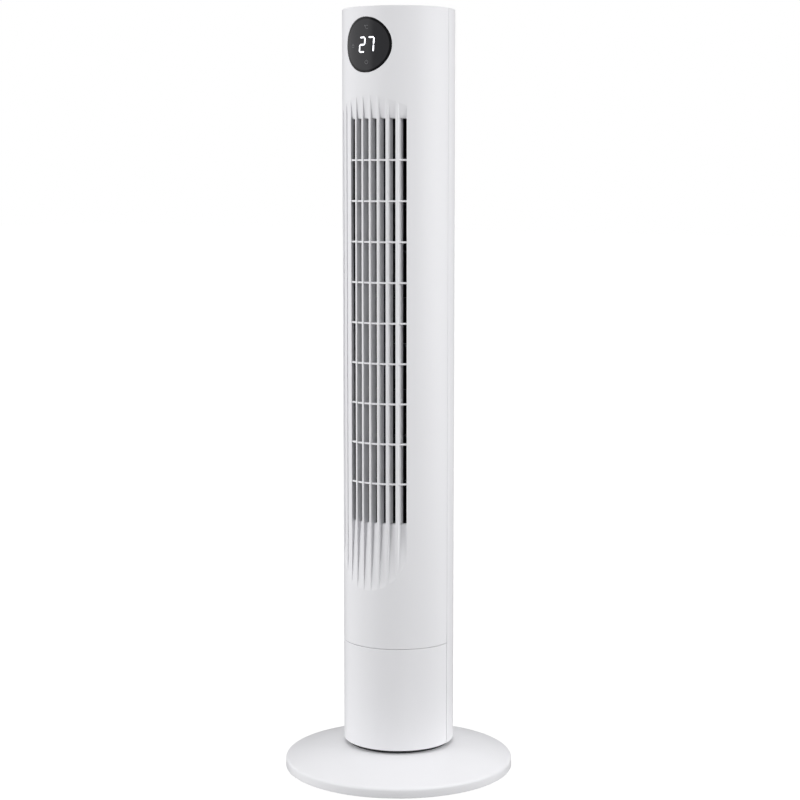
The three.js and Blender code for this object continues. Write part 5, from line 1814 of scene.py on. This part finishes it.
@dataclass
class Lens:
    """The round smoked lens over the display, with its lit digits and its printed marks, which carry a faint
    painted glow.
    """

    low: Vector = field(default_factory=lambda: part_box("display_lens")[0])
    high: Vector = field(default_factory=lambda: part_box("display_lens")[1])
    tower_radius: float = TOWER_RADIUS
    thickness: float = 1.6 * MM
    edge: float = 0.55 * MM
    digit_width: float = 7.4 * MM
    digit_height: float = 16.6 * MM
    digit_gap: float = 4.6 * MM
    stroke: float = 1.7 * MM
    slant: float = 0.07
    shift: float = 1.2 * MM
    mark_reach: float = 20 * MM
    mark_width: float = 0.55 * MM
    border: float = 2.6 * MM
    disc_rings: int = 10
    disc_steps: int = 96

    @property
    def size(self) -> float:
        """The lens's radius."""
        return (self.high.x - self.low.x) / 2

    @property
    def middle(self) -> float:
        """The height of its centre."""
        return (self.low.z + self.high.z) / 2

    def on_surface(self, across: float, up: float, lift: float) -> Vector:
        """A point so far above the tower's surface, at a place measured from the lens's centre."""
        reach = math.sqrt(self.tower_radius**2 - across**2)
        return Vector((across, -reach - lift, self.middle + up))

    def curved_disc(self, size: float, lift: float, sink: float, edge: float) -> Form:
        """A round disc that follows the tower's surface.

        Args:
            size: The disc's radius.
            lift: How far its face stands above the surface.
            sink: How far its back lies below the surface.
            edge: The radius of its front edge.

        Returns:
            The closed form.
        """
        count = self.disc_rings
        rings = [(size * i / count, lift) for i in range(count)]
        for bend in (0, 0.5, 1.0, math.pi / 2):
            rings.append((size - edge + edge * math.sin(bend), lift - edge * (1 - math.cos(bend))))
        rings += [(size * i / count, -sink) for i in range(count, -1, -1)]
        angles = [angle for angle, _ in full_circle(self.disc_steps)[:-1]]
        rows = [
            [self.on_surface(reach * math.cos(a), reach * math.sin(a), above) for a in angles]
            for reach, above in rings
        ]
        form = Form()
        form.sheet(rows, wrap=True)
        return form

    def add_stroke(self, form: Form, start: Point, end: Point, width: float) -> None:
        """Add a bar with round ends on the lens, from one point to another.

        Args:
            form: The form it joins.
            start: Sideways place and height from the lens's centre.
            end: The same for the other end.
            width: The bar's width.
        """
        first, last = Vector(start), Vector(end)
        along = (last - first).normalized()
        side = Vector((-along.y, along.x))
        half = width / 2
        bends = [math.pi / 2 * i / 4 for i in range(5)]
        stops = [(-half * math.cos(b), half * math.sin(b)) for b in bends]
        length = (last - first).length
        stops += [(length * i / 6, half) for i in range(1, 6)]
        stops += [(length + half * math.sin(b), half * math.cos(b)) for b in bends]
        rows = []
        crowned = ((-1, 0.02), (-0.6, 0.07), (0, 0.09), (0.6, 0.07), (1, 0.02), (1, -0.3), (-1, -0.3))
        for reach, spread in stops:
            ring = []
            for share, lift in crowned:
                spot = first + along * reach + side * spread * share
                ring.append(self.on_surface(spot.x, spot.y, lift * MM))
            rows.append(ring)
        form.sheet(rows, wrap=True)

    def add_digit(self, form: Form, segments: str, middle: float) -> None:
        """Add one seven-segment digit.

        Args:
            form: The form it joins.
            segments: Its lit segments: a at the top, clockwise to f, and g across the middle.
            middle: Its sideways place.
        """
        w, h, gap = self.digit_width / 2, self.digit_height / 2, self.stroke * 0.75
        ends = {
            "a": ((-w + gap, h), (w - gap, h)),
            "b": ((w, h - gap), (w, gap)),
            "c": ((w, -gap), (w, gap - h)),
            "d": ((-w + gap, -h), (w - gap, -h)),
            "e": ((-w, -gap), (-w, gap - h)),
            "f": ((-w, h - gap), (-w, gap)),
            "g": ((-w + gap, 0.0), (w - gap, 0.0)),
        }
        for name in segments:
            start, end = (((x + y * self.slant + middle), y) for x, y in ends[name])
            self.add_stroke(form, start, end, self.stroke)

    def marks(self) -> Form:
        """The faint printed marks above, left of and below the digits, which are given a faint painted glow.

        Returns:
            The marks as one form.
        """
        form = Form()

        def add_line(points: Sequence[Point]) -> None:
            """Join points by short strokes."""
            for start, end in zip(points, points[1:]):
                self.add_stroke(form, start, end, self.mark_width)

        upper = (self.shift, self.mark_reach)
        add_line(arc((upper[0] - 2.0 * MM, upper[1] + 1.6 * MM), 0.7 * MM, 0, FULL_TURN, 8))
        add_line(arc((upper[0] + 0.8 * MM, upper[1]), 2.0 * MM, math.radians(50), math.radians(310), 8))
        left, half, drop = -self.mark_reach, 1.6 * MM, -2.4 * MM
        box = ((-half, 0), (half, 0), (half, drop), (-half, drop), (-half, 0))
        add_line([(left + x, z) for x, z in box])
        add_line(arc((left, 0.3 * MM), 1.1 * MM, 0, math.pi, 6))
        lower = (self.shift, -self.mark_reach)
        add_line(arc(lower, 2.1 * MM, math.radians(125), math.radians(415), 10))
        add_line([(lower[0], lower[1] + 0.6 * MM), (lower[0], lower[1] + 2.6 * MM)])
        return form

    def install(self) -> None:
        """Build and hand over the lens, the digits and the marks."""
        centre = Vector((0, 0, self.middle))
        border = self.size - self.border
        finish = SmokedLens(Slot.LENS_BLACK, (0.004, 0.004, 0.005), 0.06, centre=centre, border=border)
        lens = self.curved_disc(self.size, 0.0, self.thickness, self.edge).object("lens_disc")
        smooth(lens.data)
        install(lens, Body.TOWER, finish, "display_lens")
        digits = Form()
        step = (self.digit_width + self.digit_gap) / 2
        self.add_digit(digits, "abged", self.shift - step)
        self.add_digit(digits, "abc", self.shift + step)
        lit = digits.object("lit_segments")
        smooth(lit.data, 60)
        install(lit, Body.TOWER, lit_digits)
        printed = self.marks().object("lens_marks")
        smooth(printed.data, 60)
        install(printed, Body.TOWER, lit_marks)


# ---------- Base ----------


@dataclass
class BaseStand:
    """The round base: its domed cover, feet, screws and gland."""

    wall: float = 2.5 * MM
    shoulder: float = 14 * MM
    edge: float = 4 * MM
    collar: float = 20 * MM
    collar_foot: float = 15.5 * MM
    collar_edge: float = 0.6 * MM
    rim_edge: float = EASED_EDGE
    rim_inside: float = 9 * MM
    straight: float = 0.75
    dome_inset: float = 1 * MM
    gland_play: float = 0.3 * MM
    gland_bore: float = 2.6 * MM
    gland_edges: tuple[float, ...] = (0.2 * MM, FINE_EDGE, 0.8 * MM, 1.2 * MM)
    foot_edges: tuple[float, ...] = (0.0, 0.7 * MM, 0.2 * MM, 0.0)
    tower_radius: float = TOWER_RADIUS
    low: Vector = field(default_factory=lambda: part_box("base_cover")[0])
    high: Vector = field(default_factory=lambda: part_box("base_cover")[1])

    def dome(self, lift: float, steps: int) -> list[Point]:
        """The line of the dome from its flat middle out to the shoulder, moved down by a lift.

        Args:
            lift: How far the line is moved down.
            steps: How many straight steps it takes.

        Returns:
            The line's points.
        """
        start, end = self.tower_radius - self.dome_inset, self.high.x - self.edge
        crown = self.high.z
        line = []
        for i in range(steps + 1):
            share = i / steps
            fall = self.straight * share + (1 - self.straight) * share * share
            line.append((start + (end - start) * share, crown - lift - (crown - self.shoulder) * fall))
        return line

    def cover(self) -> bpy.types.Object:
        """Turn the cover and bore it for the gland.

        Returns:
            The closed cover.
        """
        radius, crown = self.high.x, self.high.z
        foot, rim = self.low.z, self.rim_edge
        centre = (radius - self.edge, self.shoulder - self.edge)
        outer = [
            (radius - self.wall, foot),
            (radius - rim, foot),
            *arc((radius - rim, foot + rim), rim, -math.pi / 2, 0, 3)[1:],
            *arc(centre, self.edge, 0, math.radians(76), 8),
            *reversed(self.dome(0.0, 20)[:-1]),
            (self.collar + self.collar_edge, crown),
            (self.collar, crown - self.collar_edge),
        ]
        collar_foot = foot + self.collar_foot
        inner = [
            (self.collar, collar_foot),
            (self.collar + self.wall, collar_foot),
            (self.collar + self.wall, crown - self.wall),
            *self.dome(self.wall, 8)[:-1],
            (radius - self.wall, self.rim_inside),
        ]
        form = Form()
        form.turn([*outer, *inner], full_circle(192))
        cover = form.object("base_dome")
        low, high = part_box("cord_gland")
        hole = Form()
        middle = (0.0, (low.z + high.z) / 2)
        outline = arc(middle, (high.x - low.x) / 2 + self.gland_play, 0, FULL_TURN, 40)[:-1]
        hole.raised(outline, low.y - CUT_MARGIN, high.y + CUT_MARGIN, "xzy")
        carve(cover, hole.object("gland_hole"))
        smooth(cover.data)
        return cover

    def gland(self) -> bpy.types.Object:
        """Turn the gland's ring along Y, with a rounded mouth.

        Returns:
            The closed ring.
        """
        low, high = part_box("cord_gland")
        outer, bore = (high.x - low.x) / 2, self.gland_bore
        outline = rounded_box((bore, low.y), (outer, high.y), self.gland_edges)
        middle = (low.z + high.z) / 2
        rows = []
        for i in range(48):
            angle = FULL_TURN * i / 48
            rows.append([Vector((r * math.cos(angle), y, middle + r * math.sin(angle))) for r, y in outline])
        form = Form()
        form.sheet([*rows, rows[0]], wrap=True)
        return form.object("gland_ring")

    def copies(self, name: str, one: Form, finish: Finish, node: str, count: int) -> bpy.types.Object:
        """Copy a small piece evenly round the base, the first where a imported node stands.

        Args:
            name: The result's name.
            one: The piece, upright on the Z axis.
            finish: Its finish.
            node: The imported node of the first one.
            count: How many there are.

        Returns:
            One object that holds them all.
        """
        low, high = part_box(node)
        centre = (low + high) / 2
        first = math.atan2(centre.x, -centre.y)
        template = one.object(f"{name}_template")
        return round_copies(name, template, finish, count, FULL_TURN / count, centre.xy.length, 0.0, first)

    def feet(self) -> bpy.types.Object:
        """Copy one rounded foot pad round the base.

        Returns:
            One object that holds all the pads.
        """
        low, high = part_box("foot_1")
        radius = (high.x - low.x) / 2
        pad = Form()
        pad.turn(rounded_box((0, 0), (radius, high.z), self.foot_edges), full_circle(40))
        return self.copies("foot_pads", pad, foot_rubber, "foot_1", FOOT_COUNT)

    def screws(self) -> bpy.types.Object:
        """Copy one base screw round the hub.

        Returns:
            One object that holds all the screws.
        """
        low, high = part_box("base_screw_1")
        one = Form()
        add_screw(one, Vector((0, 0, low.z)), "-z", high.z - low.z)
        return self.copies("base_screws", one, screw_steel, "base_screw_1", SCREW_COUNT)

    def install(self) -> None:
        """Build and hand over the cover, gland, feet and screws."""
        install(self.cover(), Body.BASE, base_white, "base_cover")
        dressed = [
            (self.gland(), dark_plastic, ["cord_gland"]),
            (self.feet(), foot_rubber, [f"foot_{i + 1}" for i in range(FOOT_COUNT)]),
            (self.screws(), screw_steel, [f"base_screw_{i + 1}" for i in range(SCREW_COUNT)]),
        ]
        for piece, finish, nodes in dressed:
            smooth(piece.data)
            install(piece, Body.BASE, finish, *nodes)


# ---------- Swivel and air path ----------


@dataclass
class Turntable:
    """The dark turntable between the base and the tower."""

    bore: float = 12.5 * MM
    thickness: float = 3.5 * MM
    neck_inset: float = 5.5 * MM
    neck_wall: float = 2.5 * MM
    drop: float = 0.8 * MM
    flange_width: float = 5 * MM
    lug_gap: float = 3.3 * MM
    lug_corner: float = 1 * MM
    lug: float = 8 * MM
    lug_depth: float = 12 * MM
    rear: RearShell = field(default_factory=RearShell)

    def install(self) -> None:
        """Turn the disc with its neck and flange, and stand the screw lugs on it."""
        low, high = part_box("turntable")
        neck, flange = TOWER_RADIUS - self.neck_inset, high.x
        under = low.z + self.drop
        top = under + self.thickness
        outline = rounded(
            [
                (self.bore, under, 0),
                (neck - self.neck_wall, under, 0),
                (neck - self.neck_wall, low.z, FINE_EDGE),
                (neck, low.z, EASED_EDGE),
                (neck, top, SMALL_EDGE),
                (flange, top, FINE_EDGE),
                (flange, top + self.thickness, EASED_EDGE),
                (flange - self.flange_width, top + self.thickness, EASED_EDGE),
                (flange - self.flange_width, top, 0),
                (self.bore, top, 0),
            ],
            3,
        )
        form = Form()
        form.turn(outline, full_circle(128))
        back = self.rear.screw_seat - self.lug_gap
        front, half, corner = back - self.lug_depth, self.lug / 2, self.lug_corner
        for x in (-self.rear.screw_spread, self.rear.screw_spread):
            lug = rounded_box((x - half, front), (x + half, back), [corner] * 4, 3)
            form.raised(lug, top - corner, high.z)
        table = form.object("turntable_disc")
        smooth(table.data)
        install(table, Body.TOWER, black_plastic, "turntable")


@dataclass
class Impeller:
    """The long cross-flow impeller behind the outlet."""

    blade_count: int = 24
    blade_chord: float = 12 * MM
    blade_thickness: float = 1.1 * MM
    camber: float = 2.6 * MM
    lean: float = math.radians(52)
    disc_count: int = 10
    disc_thickness: float = 1.6 * MM
    hub_bore: float = 10.3 * MM
    rim_margin: float = 1 * MM
    ring_margin: float = 3 * MM
    blade_steps: int = 8

    def blade(self, height: float) -> Form:
        """One curved blade, measured from the impeller's rim.

        Args:
            height: The blade's length along the axis.

        Returns:
            The closed blade.
        """
        steps = self.blade_steps
        reach = self.blade_chord * math.cos(self.lean / 2)
        swing = self.blade_chord * math.sin(self.lean / 2)

        def side(offset: float) -> list[Point]:
            """One face of the blade, thinner towards its ends.

            Args:
                offset: Half the thickness, below nought on the hollow side.

            Returns:
                The face's points, from the rim inwards.
            """
            points = []
            for i in range(steps + 1):
                share = i / steps
                bow = self.camber * math.sin(math.pi * share)
                thin = 0.35 + 0.65 * math.sin(math.pi * (0.12 + 0.76 * share))
                across = bow + swing * (share - 0.5) + offset * thin
                points.append((across, reach * (1 - share) + self.rim_margin))
            return points

        outline = [*side(-self.blade_thickness / 2), *reversed(side(self.blade_thickness / 2))]
        form = Form()
        form.raised(outline, 0.0, height)
        return form

    def install(self) -> None:
        """Copy the blades round the axis and thread the discs on them."""
        low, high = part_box("impeller_wheel")
        centre = (low + high) / 2
        radius = (high.x - low.x) / 2
        margin = self.disc_thickness / 2
        template = self.blade(high.z - low.z - 2 * margin)
        blades = round_copies(
            "impeller_blades",
            template.object("blade"),
            impeller_dark,
            self.blade_count,
            FULL_TURN / self.blade_count,
            radius,
            low.z + margin,
        )
        discs = Form()
        step = (high.z - low.z - self.disc_thickness) / (self.disc_count - 1)
        for number in range(self.disc_count):
            last = number in (0, self.disc_count - 1)
            inner = self.hub_bore if last else radius - self.blade_chord - self.ring_margin
            level = low.z + number * step
            edges = (SMALL_EDGE, EASED_EDGE, EASED_EDGE, SMALL_EDGE)
            section = rounded_box((inner, level), (radius, level + self.disc_thickness), edges, 3)
            discs.turn(section, full_circle(72))
        wheel = discs.object("impeller_discs")
        for piece, nodes in ((blades, ["impeller_wheel"]), (wheel, [])):
            piece.data.transform(Matrix.Translation(Vector((centre.x, centre.y, 0))))
            smooth(piece.data, 40)
            install(piece, Body.IMPELLER, impeller_dark, *nodes)


@dataclass
class InnerWorks:
    """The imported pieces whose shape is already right, which only take their finish."""

    def install(self) -> None:
        """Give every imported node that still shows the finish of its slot."""
        for part in frame["record"]["subparts"]:
            node = frame["nodes"][part["node"]]
            if node.hide_render:
                continue
            finish = SLOT_FINISHES[part["material_slot"]]
            node.data.materials.clear()
            node.data.materials.append(finish.material())
            log.info("%s: packed shape in %s", node.name, finish.slot.value)


# ---------- Studio ----------


@dataclass
class Softbox:
    """One large soft light aimed at the tower."""

    name: str
    azimuth: float
    power: float
    distance: float = 2.4
    height: float = 0.8
    width: float = 1.3
    tall: float = 2.2
    aim_height: float = 0.45

    def install(self) -> None:
        """Hang the light and turn it towards the tower."""
        light = bpy.data.lights.new(self.name, "AREA")
        light.shape = "RECTANGLE"
        light.size = self.width
        light.size_y = self.tall
        light.energy = self.power
        lamp = bpy.data.objects.new(self.name, light)
        lamp.visible_glossy = False
        bpy.context.scene.collection.objects.link(lamp)
        angle = math.radians(self.azimuth)
        lamp.location = (self.distance * math.sin(angle), -self.distance * math.cos(angle), self.height)
        aim = Vector((0, 0, self.aim_height)) - lamp.location
        lamp.rotation_euler = aim.to_track_quat("-Z", "Z").to_euler()


@dataclass
class Studio:
    """The floor, the surrounding light and the camera."""

    camera_azimuth: float = 35.0
    camera_distance: float = 2.2929
    camera_height: float = 0.72034
    camera_pitch: float = 0.11599
    camera_turn: float = -0.0007
    lens: float = 85.8
    sensor: float = 36.0
    floor_size: float = 40.0
    surround: float = 0.14
    bright_side: float = 0.6
    bright_sky: float = 0.5
    bright_azimuth: float = -66.0

    def floor(self) -> None:
        """Lay a pale floor that keeps only a soft shadow."""
        form = Form()
        half = self.floor_size / 2
        corners = ((-half, -half), (half, -half), (half, half), (-half, half))
        form.face([Vector((x, y, 0.0)) for x, y in corners])
        floor = form.object("floor")
        recipe = Recipe("pale_floor")
        cloud = recipe.noise(0.8, 2.0)
        recipe.set(
            base_color=recipe.blend(cloud, (0.10, 0.10, 0.10), (0.12, 0.12, 0.12)),
            roughness=0.9,
            emission_color=(1.0, 1.0, 1.0, 1.0),
            emission_strength=0.97,
            specular_ior_level=0.0,
        )
        floor.data.materials.append(recipe.material)
        floor.visible_diffuse = False
        floor.visible_glossy = False
        floor.visible_shadow = False

    def world(self) -> None:
        """Surround the scene with white light, brighter on the left and above."""
        world = bpy.data.worlds.new("studio")
        bpy.context.scene.world = world
        world.use_nodes = True
        work = NodeWork(world.node_tree)
        work.tree.nodes.clear()
        seen = work.node("ShaderNodeLightPath", output="Is Camera Ray")
        angle = math.radians(self.bright_azimuth)
        x, y, z = work.parts(work.node("ShaderNodeTexCoord", output="Generated"))
        facing = x * math.sin(angle) + y * -math.cos(angle)
        side = facing.ramp(0.62, 0.82) * self.bright_side
        light = side + z.ramp(0.2, 1.0) * self.bright_sky + self.surround
        strength = seen + (1.0 - seen) * light
        glow = work.node("ShaderNodeBackground", {}, {"Color": (1, 1, 1, 1), "Strength": strength})
        result = work.tree.nodes.new("ShaderNodeOutputWorld")
        work.tree.links.new(glow.socket, result.inputs["Surface"])

    def camera(self) -> None:
        """Stand the camera in front and to the right, looking slightly down."""
        data = bpy.data.cameras.new("camera")
        data.lens = self.lens
        data.sensor_width = self.sensor
        camera = bpy.data.objects.new("camera", data)
        bpy.context.scene.collection.objects.link(camera)
        angle = math.radians(self.camera_azimuth)
        camera.location = (
            self.camera_distance * math.sin(angle),
            -self.camera_distance * math.cos(angle),
            self.camera_height,
        )
        camera.rotation_euler = (math.pi / 2 - self.camera_pitch, 0.0, angle + self.camera_turn)
        bpy.context.scene.camera = camera

    def install(self) -> None:
        """Set up the whole studio."""
        bpy.context.scene.view_settings.view_transform = "Standard"
        self.floor()
        self.world()
        self.camera()
        for softbox in (
            Softbox("left_softbox", azimuth=-20, power=37),
            Softbox("right_softbox", azimuth=104, power=56),
            Softbox("top_softbox", azimuth=38, power=7, distance=0.7, height=2.7, width=1.6, tall=1.6),
            Softbox("rear_softbox", azimuth=215, power=24, distance=2.6, height=1.0),
        ):
            softbox.install()


def main() -> None:
    """Build every sub-assembly in order."""
    logging.basicConfig(level=logging.INFO, format="%(message)s")
    Studio().install()
    for assembly in (
        FrontShell(),
        LowerCover(),
        RearShell(),
        TopCap(),
        Lens(),
        BaseStand(),
        Turntable(),
        Impeller(),
        InnerWorks(),
    ):
        assembly.install()


if __name__ == "__main__":
    main()
    bpy.context.view_layer.update()
